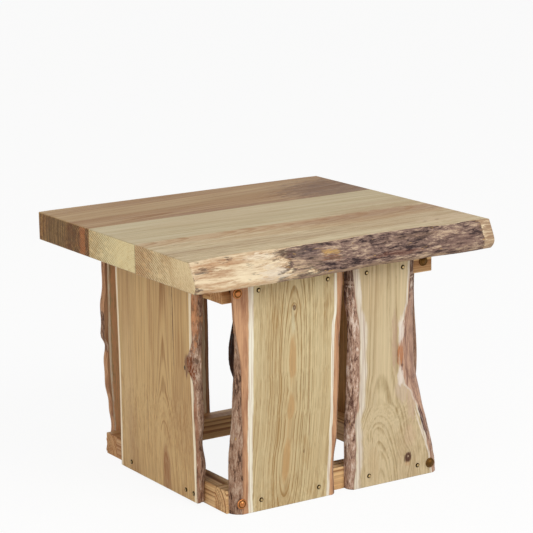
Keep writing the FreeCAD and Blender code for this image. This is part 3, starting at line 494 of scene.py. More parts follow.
class Slab:
    """A closed skin over a plank or board whose left and right edges may be live."""

    FACE_COLUMNS = {"outer": 12, "inner": 8}
    PLAIN_COLUMNS = 3
    PLAIN_ROWS = 24
    NO_SAP = 9.0
    HALF_HEIGHT = 0.5
    OTHER_EDGE_SEED = 31

    def __init__(self, node, side, look, sizes, live=("left", "right"), live_columns=18):
        self.node = node
        self.stock = Stock(node, side)
        self.look = look
        self.sizes = sizes
        self.live = live
        self.seed = seed_of(node)
        self.edges = {}
        self.columns = []
        for band in ("outer", "right", "inner", "left"):
            plain = self.FACE_COLUMNS.get(band, self.PLAIN_COLUMNS)
            count = live_columns if band in live else plain
            self.columns += [(band, index / count) for index in range(count)]
        self.rows = round(self.stock.long / sizes.mesh_step) if live else self.PLAIN_ROWS

    def cover(self, side, depth, along):
        """How much rough bark an edge carries at one place, from 0 to 1."""
        pairs = self.look["covers"][("left", "right").index(side)]
        amount = between(pairs, along / self.stock.long)
        ragged = noise.noise(Vector((depth * 60, along * 35, self.seed + 5.0)))
        return min(max(amount + 0.35 * ragged, 0.0), 1.0)

    def edge(self, side, depth, along):
        """An edge's place across, its bark height and its cover at one depth and length."""
        key = (side, round(depth / MM, 3), round(along / MM, 3))
        if key not in self.edges:
            right = side == "right"
            place = self.stock.edge(right, depth, along)
            if side in self.live:
                cover = self.cover(side, depth, along)
                seed = self.seed + (self.OTHER_EDGE_SEED if right else 0)
                rough, bare = plate_height(depth, along, seed), scallop_height(depth, along, seed)
                height = bare + (rough - bare) * cover
                share = depth / self.stock.thick
                taper = 0.4 + 0.6 * min(1.0, 5 * min(share, 1 - share))
                deep = self.sizes.bark_depth * (0.3 + 0.7 * cover) * taper
                reach = deep * (height - self.HALF_HEIGHT) * 2
                place = min(max(place + (reach if right else -reach), 0.0), self.stock.wide)
                self.edges[key] = (place, height, cover)
            else:
                self.edges[key] = (place, self.HALF_HEIGHT, 0.0)
        return self.edges[key]

    def place(self, band, part, along, inset):
        """A vertex of the skin: its place, bark height and cover."""
        thick = self.stock.thick
        if band in ("outer", "inner"):
            depth = 0.0 if band == "outer" else thick
            left_end = self.edge("left", depth, along)[0] + inset
            right_end = self.edge("right", depth, along)[0] - inset
            share = part if band == "outer" else 1 - part
            across = left_end + (right_end - left_end) * share
            depth += inset if band == "outer" else -inset
            return Vector((across, depth, along)), self.HALF_HEIGHT, 0.0
        depth = thick * part if band == "right" else thick * (1 - part)
        across, height, cover = self.edge(band, depth, along)
        across += -inset if band == "right" else inset
        depth = inset + (thick - 2 * inset) * depth / thick
        return Vector((across, depth, along)), height, cover

    def sap(self, point):
        """How far a place lies inside the white stripes, in half widths of the stripe."""
        if "stripes" not in self.look:
            return self.NO_SAP
        half_left, left, half_right, right = self.look["stripes"]
        share = point.z / self.stock.long
        from_left = (point.x / MM - between(left, share)) / half_left
        from_right = (between(right, share) - point.x / MM) / half_right
        return min(from_left, from_right)

    def rings(self, point):
        """A place measured from the middle of the tree, for the growth rings."""
        share = point.z / self.stock.long
        pith_across = between([row[:2] for row in self.look["pith"]], share, soft=False) * MM
        pith_depth = between([row[::2] for row in self.look["pith"]], share, soft=False) * MM
        across = point.x - pith_across
        if across > 0:
            across *= self.look["rings"][2]
        return Vector((across, point.y - pith_depth, point.z))

    def rim(self, point, along):
        """How far a place lies from the nearer live edge of its face, in millimetres."""
        gaps = [self.stock.wide]
        if "left" in self.live:
            gaps.append(point.x - self.edge("left", 0.0, along)[0])
        if "right" in self.live:
            gaps.append(self.edge("right", 0.0, along)[0] - point.x)
        return min(gaps) / MM

    def build(self, materials):
        """The finished object from the face's, the end's and the live edge's material."""
        mesh = bmesh.new()
        vectors = {name: mesh.verts.layers.float_vector.new(name) for name in ("rings", "stock")}
        numbers = {name: mesh.verts.layers.float.new(name)
                   for name in ("sap", "rim", "cover", "height")}
        columns, rows = len(self.columns), self.rows
        bmesh.ops.create_grid(mesh, x_segments=columns, y_segments=rows, size=1.0)
        for face in mesh.faces:
            middle = face.calc_center_median()
            band = self.columns[int((middle.x + 1) / 2 * columns)][0]
            face.smooth = band in self.live
            face.material_index = 2 if face.smooth else 0
        ease = self.sizes.arris
        for vertex in mesh.verts:
            column = round((vertex.co.x + 1) / 2 * columns) % columns
            row = round((vertex.co.y + 1) / 2 * rows)
            at_end = row in (0, rows)
            share = min(max(row - 1, 0), rows - 2) / (rows - 2)
            along = ease + (self.stock.long - 2 * ease) * share
            point, height, cover = self.place(*self.columns[column], along, ease if at_end else 0.0)
            if at_end:
                point.z = self.stock.long if row else 0.0
            vertex[vectors["rings"]] = self.rings(point)
            vertex[vectors["stock"]] = point
            vertex[numbers["sap"]] = self.sap(point)
            vertex[numbers["rim"]] = self.rim(point, along)
            vertex[numbers["cover"]] = cover
            vertex[numbers["height"]] = height
            vertex.co = point
        bmesh.ops.remove_doubles(mesh, verts=mesh.verts, dist=SKIN_WELD)
        open_edges = [edge for edge in mesh.edges if edge.is_boundary]
        for cap in bmesh.ops.holes_fill(mesh, edges=open_edges, sides=0)["faces"]:
            cap.material_index = 1
            cap.smooth = False
        bmesh.ops.recalc_face_normals(mesh, faces=mesh.faces)
        bmesh.ops.transform(mesh, matrix=self.stock.matrix, verts=mesh.verts)
        return finished(mesh, self.node + "_finish", materials)


def linked(name, data):
    """A new object in the scene."""
    piece = bpy.data.objects.new(name, data)
    bpy.context.scene.collection.objects.link(piece)
    return piece


def finished(mesh, name, materials):
    """An object at the origin made from a bmesh."""
    data = bpy.data.meshes.new(name)
    mesh.to_mesh(data)
    mesh.free()
    for material in materials:
        data.materials.append(material)
    return linked(name, data)


def settle(piece, node):
    """Let a piece stand for a node of the frame."""
    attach(piece, "root")
    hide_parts(node)


def merged(node):
    """A copy of a node's mesh whose loose triangles are joined."""
    mesh = bmesh.new()
    mesh.from_mesh(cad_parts[node].data)
    bmesh.ops.remove_doubles(mesh, verts=mesh.verts, dist=NODE_WELD)
    return mesh


def solids_of(mesh):
    """The separate solids of a mesh as lists of vertices."""
    left, solids = set(mesh.verts), []
    while left:
        reached = [left.pop()]
        for vertex in reached:
            for edge in vertex.link_edges:
                other = edge.other_vert(vertex)
                if other in left:
                    left.remove(other)
                    reached.append(other)
        solids.append(reached)
    return solids


def first_node(tree, kind):
    """The node of one kind that a new tree starts with."""
    return next(node for node in tree.nodes if node.type == kind)


class Graph:
    """Adds shader nodes to a tree. An input that is a socket is linked, any other value is set."""

    def __init__(self, tree):
        self.tree = tree
        self.count = 0

    def node(self, kind, inputs=None, **settings):
        new = self.tree.nodes.new(kind)
        new.location = (220 * (self.count % 9), -260 * (self.count // 9))
        self.count += 1
        for key, value in settings.items():
            setattr(new, key, value)
        self.fill(new.inputs, inputs or {})
        return new

    def fill(self, sockets, values):
        for key, value in values.items():
            self.feed(sockets[key], value)

    def feed(self, socket, value):
        if isinstance(value, bpy.types.NodeSocket):
            self.tree.links.new(value, socket)
        else:
            socket.default_value = value

    def math(self, operation, *values, clamp=False):
        return self.node("ShaderNodeMath", dict(enumerate(values)), operation=operation,
                         use_clamp=clamp).outputs[0]

    def times(self, first, second):
        return self.math("MULTIPLY", first, second)

    def add(self, *values):
        """The sum of values, each of which may be a (value, weight) pair."""
        total = None
        for value in values:
            if isinstance(value, tuple):
                value = self.times(*value)
            total = value if total is None else self.math("ADD", total, value)
        return total

    def centred(self, value, weight):
        """A noise value moved to lie about zero, then weighed."""
        return self.times(self.math("SUBTRACT", value, 0.5), weight)

    def vector(self, operation, *values):
        new = self.node("ShaderNodeVectorMath", dict(enumerate(values)), operation=operation)
        return new.outputs[1 if operation == "LENGTH" else 0]

    def scaled(self, vector, x, y, z):
        return self.vector("MULTIPLY", vector, (x, y, z))

    def split(self, vector):
        return self.node("ShaderNodeSeparateXYZ", {0: vector}).outputs

    def join(self, x, y, z):
        return self.node("ShaderNodeCombineXYZ", {0: x, 1: y, 2: z}).outputs[0]

    def smooth(self, value, start, end, low=0.0, high=1.0):
        """A soft step from low to high as a value goes from start to end."""
        inputs = {"Value": value, "From Min": start, "From Max": end, "To Min": low, "To Max": high}
        return self.node("ShaderNodeMapRange", inputs, interpolation_type="SMOOTHSTEP").outputs[0]

    def noise(self, vector, stretch=None, scale=1.0, detail=2.0, roughness=0.5, distortion=0.0):
        """Noise over a place, which may be stretched along each axis first."""
        if stretch:
            vector = self.scaled(vector, *stretch)
        inputs = {"Vector": vector, "Scale": scale, "Detail": detail, "Roughness": roughness,
                  "Distortion": distortion}
        return self.node("ShaderNodeTexNoise", inputs).outputs[0]

    def mix(self, factor, first, second, blend="MIX"):
        return self.node("ShaderNodeMix", {0: factor, 6: first, 7: second}, data_type="RGBA",
                         blend_type=blend).outputs[2]

    def shade(self, surface, value):
        """A colour made lighter or darker by a value about one."""
        return self.mix(1.0, surface, self.join(value, value, value), blend="MULTIPLY")

    def attribute(self, name, output="Fac"):
        return self.node("ShaderNodeAttribute", attribute_name=name).outputs[output]

    def group(self, tree, inputs):
        return self.node("ShaderNodeGroup", inputs, node_tree=tree).outputs


VECTOR, FLOAT, COLOUR = "NodeSocketVector", "NodeSocketFloat", "NodeSocketColor"


def new_group(name, inputs, outputs):
    """A shader node group, from the names of its sockets by kind: its graph, inputs and outputs."""
    tree = bpy.data.node_groups.new(name, "ShaderNodeTree")
    for side, kinds in (("INPUT", inputs), ("OUTPUT", outputs)):
        for kind, labels in kinds.items():
            for label in labels:
                tree.interface.new_socket(label, in_out=side, socket_type=kind)
    graph = Graph(tree)
    given = graph.node("NodeGroupInput").outputs
    result = graph.node("NodeGroupOutput").inputs
    return graph, given, result


def sawn_wood_group():
    """Growth rings about the pith, with pores, fibres, a brown heart and broad patches."""
    graph, given, result = new_group(
        "Sawn Wood",
        {VECTOR: ["Vector"],
         FLOAT: ["Ring Width", "Contrast", "Pull", "Heart", "Heart Strength", "Warmth", "Seed"],
         COLOUR: ["Light", "Dark", "Warm"]},
        {COLOUR: ["Color"], FLOAT: ["Roughness", "Height"]})
    place = graph.vector("ADD", given["Vector"], graph.join(given["Seed"], 0.0, given["Seed"]))
    x, y = graph.split(given["Vector"])[:2]
    sway = graph.noise(place, (9, 9, 2.2), detail=1)
    wave = graph.noise(place, (34, 34, 4), detail=1)
    straight = graph.vector("LENGTH", graph.join(x, y, 0.0))
    reach = graph.add(straight, graph.centred(sway, 0.009), graph.centred(wave, 0.0015))
    turns = graph.math("DIVIDE", graph.math("SUBTRACT", reach, given["Pull"]), given["Ring Width"])
    uneven = graph.noise(graph.join(graph.times(turns, 0.35), given["Seed"], 0.0), detail=1)
    turns = graph.add(turns, (uneven, 2.2))
    phase = graph.math("FRACT", turns)
    ring = graph.join(graph.math("FLOOR", turns), given["Seed"], 3.0)
    ring_tone = graph.noise(ring, scale=3.1, detail=0)
    line = graph.times(graph.smooth(phase, 0.1, 0.8), graph.smooth(phase, 0.84, 1.0, 1.0, 0.0))
    line = graph.times(line, graph.smooth(ring_tone, 0.3, 0.7, 0.15, 1.4))
    fibre = graph.noise(place, (620, 620, 7), detail=3, roughness=0.6)
    streak = graph.noise(place, (150, 150, 1.6), detail=4, roughness=0.62)
    fine = graph.noise(place, (420, 420, 4), detail=2, roughness=0.6)
    pores = graph.smooth(graph.noise(place, (1500, 1500, 60), detail=1), 0.58, 0.7)
    pores = graph.times(pores, line)
    patch = graph.noise(place, (16, 16, 2.4), detail=3, roughness=0.55)
    shade = graph.add((line, given["Contrast"]), graph.centred(streak, 2.2),
                      graph.centred(fine, 1.2), (pores, 0.3), graph.centred(patch, 1.0))
    shade = graph.math("ADD", shade, 0.08, clamp=True)
    wood = graph.mix(shade, given["Light"], given["Dark"])
    heart = graph.math("DIVIDE", graph.add(reach, graph.centred(streak, 0.008)), given["Heart"])
    heart = graph.times(graph.smooth(heart, 0.85, 1.12, 1.0, 0.0), given["Heart Strength"])
    patchy = graph.times(graph.smooth(patch, 0.45, 0.62), given["Warmth"])
    wood = graph.mix(graph.math("MAXIMUM", heart, patchy), wood, given["Warm"])
    wood = graph.shade(wood, graph.add(1.0, graph.centred(fibre, 0.5), graph.centred(streak, 0.25)))
    graph.fill(result, {
        "Color": wood, "Roughness": graph.add(0.46, (shade, 0.16)),
        "Height": graph.add((line, -0.35), (fibre, 0.55), (pores, -0.8))})
    return graph.tree


def knot_group():
    """A knot: how far it pulls the rings aside, and its dark heart and pale eye."""
    graph, given, result = new_group(
        "Knot", {VECTOR: ["Vector", "Centre"], FLOAT: ["Radius"]}, {FLOAT: ["Pull", "Core", "Eye"]})
    apart = graph.scaled(graph.vector("SUBTRACT", given["Vector"], given["Centre"]), 1.0, 0.0, 0.7)
    wobble = graph.noise(given["Vector"], (180, 180, 90), detail=2)
    far = graph.math("DIVIDE", graph.vector("LENGTH", apart), given["Radius"])
    far = graph.add(far, graph.centred(wobble, 0.6))
    fall = graph.math("POWER", graph.smooth(far, 0.4, 5.5, 1.0, 0.0), 2.0)
    graph.fill(result, {
        "Pull": graph.times(fall, given["Radius"]),
        "Core": graph.smooth(far, 0.75, 1.25, 1.0, 0.0),
        "Eye": graph.smooth(far, 0.2, 0.5, 1.0, 0.0)})
    return graph.tree


def mark_group():
    """A soft oval patch with a ragged border and the grain showing through."""
    graph, given, result = new_group(
        "Mark", {VECTOR: ["Vector", "Centre", "Shares"], FLOAT: ["Ragged"]}, {FLOAT: ["Mask"]})
    apart = graph.vector("SUBTRACT", given["Vector"], given["Centre"])
    apart = graph.vector("MULTIPLY", apart, given["Shares"])
    ragged = graph.noise(given["Vector"], (260, 260, 50), detail=4, roughness=0.68)
    ragged = graph.centred(ragged, given["Ragged"])
    far = graph.add(graph.vector("LENGTH", apart), ragged)
    grain = graph.noise(given["Vector"], (420, 420, 26), detail=3, roughness=0.65)
    grain = graph.smooth(grain, 0.36, 0.54, 0.35, 1.0)
    graph.feed(result["Mask"], graph.times(graph.smooth(far, 0.6, 1.15, 1.0, 0.0), grain))
    return graph.tree


def bark_group():
    """A live edge: rough plates of bark, or the smooth layer that is left where they came off."""
    graph, given, result = new_group(
        "Live Edge",
        {VECTOR: ["Vector"], FLOAT: ["Cover", "Relief", "Flecks", "Stretch"],
         COLOUR: ["Bark Light", "Bark Middle", "Bark Dark", "Fleck", "Smooth Light",
                  "Smooth Dark"]},
        {COLOUR: ["Color"], FLOAT: ["Roughness", "Height"]})
    place = graph.vector("MULTIPLY", given["Vector"], graph.join(1.0, 1.0, given["Stretch"]))
    plates = graph.noise(place, (230, 230, 230), detail=5, roughness=0.7, distortion=0.2)
    flakes = graph.noise(place, (620, 620, 620), detail=3, roughness=0.7)
    grit = graph.noise(given["Vector"], (900, 900, 500), detail=3, roughness=0.7)
    broad = graph.noise(place, (40, 40, 50), detail=2)
    level = graph.add((given["Relief"], 0.7), 0.12, graph.centred(plates, 3.0),
                      graph.centred(flakes, 1.3), graph.centred(broad, 1.2))
    bark = graph.mix(graph.smooth(level, 0.05, 0.5), given["Bark Dark"], given["Bark Middle"])
    bark = graph.mix(graph.smooth(level, 0.5, 1.05), bark, given["Bark Light"])
    fleck = graph.noise(place, (150, 150, 200), detail=3, roughness=0.6)
    fleck = graph.smooth(graph.math("ADD", fleck, given["Flecks"]), 0.68, 0.76)
    bark = graph.mix(fleck, bark, given["Fleck"])
    bark = graph.shade(bark, graph.add(0.7, (grit, 0.6)))
    streak = graph.noise(place, (330, 330, 120), detail=5, roughness=0.66, distortion=0.2)
    blotch = graph.noise(place, (90, 90, 120), detail=3, roughness=0.6)
    bands = graph.noise(place, (150, 150, 36), detail=2)
    stain = graph.add(0.3, graph.centred(streak, 2.6), graph.centred(blotch, 1.5),
                      graph.centred(flakes, 0.8), graph.centred(bands, 1.6))
    stain = graph.math("ADD", stain, 0.0, clamp=True)
    layer = graph.mix(stain, given["Smooth Light"], given["Smooth Dark"])
    crack = graph.smooth(graph.noise(place, (260, 260, 120), detail=3), 0.66, 0.72, 0.0, 0.6)
    layer = graph.mix(crack, layer, given["Bark Dark"])
    border = graph.add(given["Cover"], graph.centred(plates, 1.1), graph.centred(flakes, 0.4))
    covered = graph.smooth(border, 0.4, 0.52)
    edge_line = graph.times(graph.smooth(border, 0.3, 0.42),
                            graph.smooth(border, 0.42, 0.6, 1.0, 0.0))
    layer = graph.mix(graph.times(edge_line, 0.7), layer, given["Bark Dark"])
    relief = graph.add(plates, (flakes, 0.5), (grit, 0.35))
    relief = graph.times(relief, graph.smooth(covered, 0.0, 1.0, 0.25, 1.0))
    graph.fill(result, {
        "Color": graph.mix(covered, layer, bark),
        "Roughness": graph.smooth(covered, 0.0, 1.0, 0.55, 0.9),
        "Height": graph.add(relief, (covered, 0.4))})
    return graph.tree


def saw_mark_group():
    """The slanting marks that a saw leaves on end grain."""
    graph, given, result = new_group(
        "Saw Marks", {VECTOR: ["Vector"], FLOAT: ["Spacing", "Slant", "From", "To"]},
        {FLOAT: ["Mark"]})
    x, y = graph.split(given["Vector"])[:2]
    shake = graph.noise(given["Vector"], (60, 60, 0), detail=2)
    run = graph.add(y, (x, given["Slant"]), (shake, 0.002))
    wave = graph.math("SINE", graph.times(graph.math("DIVIDE", run, given["Spacing"]), math.tau))
    broken = graph.noise(given["Vector"], (45, 90, 0), detail=3)
    fade = graph.smooth(x, given["From"], given["To"], 0.15, 1.0)
    wave = graph.times(graph.smooth(wave, -0.6, 0.8), graph.smooth(broken, 0.3, 0.5))
    graph.feed(result["Mark"], graph.times(wave, fade))
    return graph.tree


def shader(name, build):
    """A material whose Principled shader is fed by a function of its graph."""
    material = bpy.data.materials.new(name)
    material.use_nodes = True
    tree = material.node_tree
    build(Graph(tree), first_node(tree, "BSDF_PRINCIPLED"))
    return material


def finish(graph, principled, inputs, height, strength, distance):
    """Feed the shader, and turn a height into its normal, over a distance in millimetres."""
    bump = graph.node("ShaderNodeBump", {
        "Height": height, "Strength": strength, "Distance": distance * MM})
    graph.fill(principled.inputs, {**inputs, "Normal": bump.outputs[0]})


GROUPS = {}


def shared(name):
    """A shared node group, built when it is first needed."""
    if name not in GROUPS:
        makers = {"wood": sawn_wood_group, "knot": knot_group, "mark": mark_group,
                  "bark": bark_group, "saw": saw_mark_group}
        GROUPS[name] = makers[name]()
    return GROUPS[name]


def sawn_wood(graph, node, look, colours, pull):
    """The wood group with a look's rings, heart and patches."""
    ring_width, contrast, _ = look["rings"]
    heart, heart_strength = look["heart"]
    light, dark, warm = colours
    return graph.group(shared("wood"), {
        "Vector": graph.attribute("rings", "Vector"), "Ring Width": ring_width * MM,
        "Contrast": contrast, "Pull": pull, "Heart": heart * MM, "Heart Strength": heart_strength,
        "Warmth": look["warmth"], "Seed": seed_of(node) * WOOD_SEED_STEP, "Light": light,
        "Dark": dark, "Warm": warm})


def knots_of(graph, place, knots):
    """The pull, heart and eye of all the knots of a piece."""
    pull, core, eye = 0.0, 0.0, 0.0
    for across, up, radius in knots:
        knot = graph.group(shared("knot"), {
            "Vector": place, "Centre": (across * MM, 0.0, up * MM), "Radius": radius * MM})
        pull = graph.math("ADD", pull, knot["Pull"])
        core = graph.math("MAXIMUM", core, knot["Core"])
        eye = graph.math("MAXIMUM", eye, knot["Eye"])
    return pull, core, eye


def planed(graph, node, look, colours, knot_colour):
    """The planed face of a piece: its place, its colour with knots, and its wood."""
    place = graph.attribute("stock", "Vector")
    pull, core, eye = knots_of(graph, place, look["knots"])
    wood = sawn_wood(graph, node, look, colours, pull)
    surface = wood["Color"]
    if look["knots"]:
        surface = graph.mix(graph.times(core, 0.85), surface, knot_colour)
        surface = graph.mix(graph.times(eye, 0.3), surface, colours[0])
    return place, surface, wood


def leaning(graph, place, up, lean):
    """A place moved across so that an upright mark at one height leans."""
    x, y, z = graph.split(place)
    off = graph.times(graph.math("SUBTRACT", z, up * MM), lean)
    return graph.join(graph.math("SUBTRACT", x, off), y, z)


def with_marks(graph, surface, place, marks, axis, ragged):
    """A colour with marks laid over it, their first length along one axis, their second up."""
    for across, up, half_wide, half_tall, code, strength, *lean in marks:
        centre, shares = [0.0, 0.0, up * MM], [0.0, 0.0, 1 / (half_tall * MM)]
        centre[axis], shares[axis] = across * MM, 1 / (half_wide * MM)
        mark = graph.group(shared("mark"), {
            "Vector": leaning(graph, place, up, lean[0]) if lean else place,
            "Centre": centre, "Shares": shares, "Ragged": ragged})
        surface = graph.mix(graph.times(mark["Mask"], strength), surface, tone(code))
    return surface


def finish_wood(graph, principled, surface, wood):
    """Feed a planed face's colour, roughness and grain into its shader."""
    finish(graph, principled, {
        "Base Color": surface, "Roughness": wood["Roughness"], "Specular IOR Level": 0.28,
    }, wood["Height"], 0.3, 0.6)


def board_material(node, look, colours, skin_colours, context):
    """Planed slab: heartwood, a white stripe, then the smooth reddish layer up to the bark."""
    woods, barks = context.scene.table_woods, context.scene.table_barks

    def build(graph, principled):
        place, surface, wood = planed(graph, node, look, colours, woods.knot[:])
        soft = look.get("soft", 1.0)
        shake = graph.noise(place, (90, 90, 22), detail=3, roughness=0.6)
        sap = graph.add(graph.attribute("sap"), graph.centred(shake, 1.3 * soft))
        skin = graph.group(shared("bark"), {
            "Vector": place, "Cover": -0.3, "Relief": 0.5, "Stretch": 0.12,
            "Bark Dark": skin_colours[1], "Smooth Light": skin_colours[0],
            "Smooth Dark": skin_colours[1]})
        surface = graph.mix(graph.smooth(sap, -0.85, -1.2), surface, skin["Color"])
        lines = graph.noise(place, (420, 420, 9), detail=3, roughness=0.6)
        pale = tones(look["sap"]) if "sap" in look else (woods.sapwood[:], woods.sapwood_grey[:])
        white = graph.mix(graph.smooth(lines, 0.44, 0.62, 0.0, 0.75), *pale)
        stripe = graph.smooth(graph.math("ABSOLUTE", sap), 1.0 - 0.3 * soft, 1.0 + 0.25 * soft,
                              1.0, 0.0)
        surface = graph.mix(stripe, surface, white)
        surface = with_marks(graph, surface, place, look["marks"], *ON_FACE)
        rim = graph.add(graph.attribute("rim"), graph.centred(shake, -4.0))
        rim = graph.smooth(rim, 0.2, 1.6, look["rim"], 0.0)
        surface = graph.mix(rim, surface, barks.outer_dark[:])
        finish_wood(graph, principled, surface, wood)

    return shader(node + " wood", build)


def plank_material(node, look, colours, knot_colour):
    """The planed face of a plank of the top."""

    def build(graph, principled):
        place, surface, wood = planed(graph, node, look, colours, knot_colour)
        surface = with_marks(graph, surface, place, look["marks"], *ON_FACE)
        finish_wood(graph, principled, surface, wood)

    return shader(node + " wood", build)


def end_material(node, look, colours, saw):
    """End grain with its rings and the marks of the saw, as strong as the saw says."""

    def build(graph, principled):
        wood = sawn_wood(graph, node, look, colours, 0.0)
        place = graph.attribute("stock", "Vector")
        start, full = look.get("hatch", (0.0, 1.0))
        marks = graph.group(shared("saw"), {
            "Vector": place, "Spacing": 5.0 * MM, "Slant": 0.5, "From": start * MM,
            "To": full * MM})
        streaks = [(across, END_MIDDLE, half_wide, END_REACH, code, strength)
                   for across, half_wide, code, strength in look.get("end_marks", ())]
        surface = with_marks(graph, wood["Color"], place, streaks, *ON_FACE)
        surface = graph.shade(surface, graph.add(1.0 + 0.35 * saw, (marks["Mark"], -saw)))
        finish(graph, principled, {
            "Base Color": surface, "Roughness": graph.add(wood["Roughness"], 0.1),
            "Specular IOR Level": 0.25,
        }, graph.add(wood["Height"], (marks["Mark"], -0.8)), 0.35, 0.7)

    return shader(node + " end", build)


def edge_material(node, bark, layer, fleck, flecks, stretch, marks):
    """Bark on a live edge, with the smooth layer where the bark has come off.

    More flecks show as their number rises, and plates run longer as the stretch falls.
    """

    def build(graph, principled):
        place = graph.attribute("stock", "Vector")
        shift = graph.vector("ADD", place, (seed_of(node) * BARK_SEED_STEP, 0.0, 0.0))
        edge = graph.group(shared("bark"), {
            "Vector": shift, "Cover": graph.attribute("cover"), "Relief": graph.attribute("height"),
            "Flecks": flecks, "Stretch": stretch, "Bark Light": bark[0], "Bark Middle": bark[1],
            "Bark Dark": bark[2], "Fleck": fleck, "Smooth Light": layer[0],
            "Smooth Dark": layer[1]})
        surface = with_marks(graph, edge["Color"], place, marks, *ON_EDGE)
        finish(graph, principled, {
            "Base Color": surface, "Roughness": edge["Roughness"], "Specular IOR Level": 0.2,
        }, edge["Height"], 0.75, 1.6)

    return shader(node + " bark", build)


def metal_material(name, bright, dull, wear, ring=None):
    """Plated steel, patchy and darker where it has aged.

    The wear goes from its first to its second value along X. A ring gives the distance from a
    fixing's middle line, and the half width, in which the metal is dull, in millimetres. On the
    screws the dull ring is painted shade round the head, and the bright middle a painted highlight.
    """

    def build(graph, principled):
        place = graph.node("ShaderNodeTexCoord").outputs["Object"]
        x = graph.split(place)[0]
        speck = graph.noise(place, scale=260, detail=4, roughness=0.6)
        film = graph.noise(place, scale=45, detail=2)
        wear_and_shade = graph.add(graph.smooth(x, -0.1, 0.1, wear[0], wear[1]), graph.centred(film, 0.5),
                         graph.smooth(speck, 0.55, 0.7, 0.0, 0.3))
        # The ring darkens the metal; on the screws it is painted shade round each head.
        if ring:
            middle, half = ring
            apart = graph.math("SUBTRACT", graph.attribute("reach"), middle * MM)
            apart = graph.math("ABSOLUTE", apart)
            wear_and_shade = graph.add(wear_and_shade, graph.smooth(apart, 0.4 * half * MM, half * MM, 1.0, 0.0))
        wear_and_shade = graph.math("ADD", wear_and_shade, 0.0, clamp=True)
        finish(graph, principled, {
            "Base Color": graph.mix(wear_and_shade, bright, dull), "Metallic": 1.0,
            "Roughness": graph.smooth(wear_and_shade, 0.0, 1.0, 0.28, 0.5),
        }, speck, 0.15, 0.3)

    return shader(name, build)


class TABLE_OT_boards(bpy.types.Operator):
    """Make the six live-edge boards of the base"""

    bl_idname = "table.boards"
    bl_label = "Make Boards"

    def execute(self, context):
        barks, sizes = context.scene.table_barks, context.scene.table_sizes
        plates = (barks.outer[:], barks.outer_middle[:], barks.outer_dark[:])
        smooth = (barks.inner[:], barks.inner_dark[:])
        for node, look in BOARD_LOOKS.items():
            colours = tones(look["woods"])
            bark = tones(look["bark"]) if "bark" in look else plates
            skin = tones(look["skin"]) if "skin" in look else smooth
            slab = Slab(node, look["side"], look, sizes)
            piece = slab.build([
                board_material(node, look, colours, skin, context),
                end_material(node, look, colours, saw=0.1),
                edge_material(node, bark, skin, barks.fleck[:], flecks=0.0, stretch=0.24,
                              marks=look.get("edge_marks", ())),
            ])
            settle(piece, node)
        return {"FINISHED"}


class TABLE_OT_top(bpy.types.Operator):
    """Make the three planks of the top, the front one with its live edge"""

    bl_idname = "table.top"
    bl_label = "Make Top"

    def execute(self, context):
        woods, barks = context.scene.table_woods, context.scene.table_barks
        sizes = context.scene.table_sizes
        bark = (barks.plum[:], barks.plum_middle[:], barks.plum_dark[:])
        layer = (barks.bare[:], barks.bare_dark[:])
        for node, look in PLANK_LOOKS.items():
            colours = tones(look["woods"])
            *ends, contrast = look["ends"]
            end_look = dict(look, rings=(look["rings"][0], contrast, 1.0), heart=(30, 0.3))
            materials = [
                plank_material(node, look, colours, woods.knot[:]),
                end_material(node, end_look, tones(ends), saw=0.62),
            ]
            live = ("left",) if node == "top_plank_front" else ()
            if live:
                materials.append(edge_material(node, bark, layer, barks.fleck[:], flecks=0.02,
                                               stretch=0.18, marks=EDGE_MARKS))
            slab = Slab(node, "top", look, sizes, live=live, live_columns=36)
            settle(slab.build(materials), node)
        return {"FINISHED"}


class TABLE_OT_rails(bpy.types.Operator):
    """Make the eight rails, their arrises eased"""

    bl_idname = "table.rails"
    bl_label = "Make Rails"

    LOOK = {"rings": (4.6, 0.8, 1.0), "heart": (30, 0.4), "warmth": 0.5, "knots": [], "marks": []}
    NEAR = 0.02 * MM
    END_GRAIN_SLOPE = 0.8

    def execute(self, context):
        woods, sizes = context.scene.table_woods, context.scene.table_sizes
        colours = (woods.rail_light[:], woods.rail_dark[:], woods.rail_warm[:])
        nodes = [f"{row}_rail_{side}" for row in ("upper", "lower")
                 for side in ("front", "back", "left", "right")]
        for index, node in enumerate(nodes):
            low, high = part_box(node)
            mesh = merged(node)
            bmesh.ops.dissolve_limit(mesh, angle_limit=math.radians(1), verts=mesh.verts,
                                     edges=mesh.edges)
            box_edges = [edge for edge in mesh.edges if self.is_on_box(edge, low, high)]
            bmesh.ops.bevel(mesh, geom=box_edges, offset=sizes.arris, offset_type="OFFSET",
                            affect="EDGES", segments=3, profile=0.5, material=-1)
            grain = 0 if node.endswith(("front", "back")) else 1
            self.mark(mesh, low, high, grain, index)
            piece = finished(mesh, node + "_finish", [
                plank_material(node, self.LOOK, colours, woods.knot[:]),
                end_material(node, self.LOOK, colours, saw=0.12),
            ])
            settle(piece, node)
        return {"FINISHED"}

    def is_on_box(self, edge, low, high):
        """Whether an edge lies along an edge of the node's box."""
        walls = 0
        for axis in range(3):
            for wall in (low[axis], high[axis]):
                walls += all(abs(vertex.co[axis] - wall) < self.NEAR for vertex in edge.verts)
        return walls == 2

    def mark(self, mesh, low, high, grain, index):
        """Write the places from the pith, which differs from rail to rail, and mark the ends."""
        rings = mesh.verts.layers.float_vector.new("rings")
        stock_place = mesh.verts.layers.float_vector.new("stock")
        across = 1 - grain
        middle = (low + high) / 2
        pith_across = (0.6 + 0.25 * (index % 3)) * (high[across] - low[across])
        pith_up = (0.35 + 0.3 * (index % 4)) * (high.z - low.z)
        for vertex in mesh.verts:
            place = vertex.co - middle
            vertex[rings] = Vector((place[across] - pith_across, place.z + pith_up, place[grain]))
            vertex[stock_place] = Vector((place[across], place.z, place[grain]))
        for face in mesh.faces:
            face.material_index = 1 if abs(face.normal[grain]) > self.END_GRAIN_SLOPE else 0
            face.smooth = False


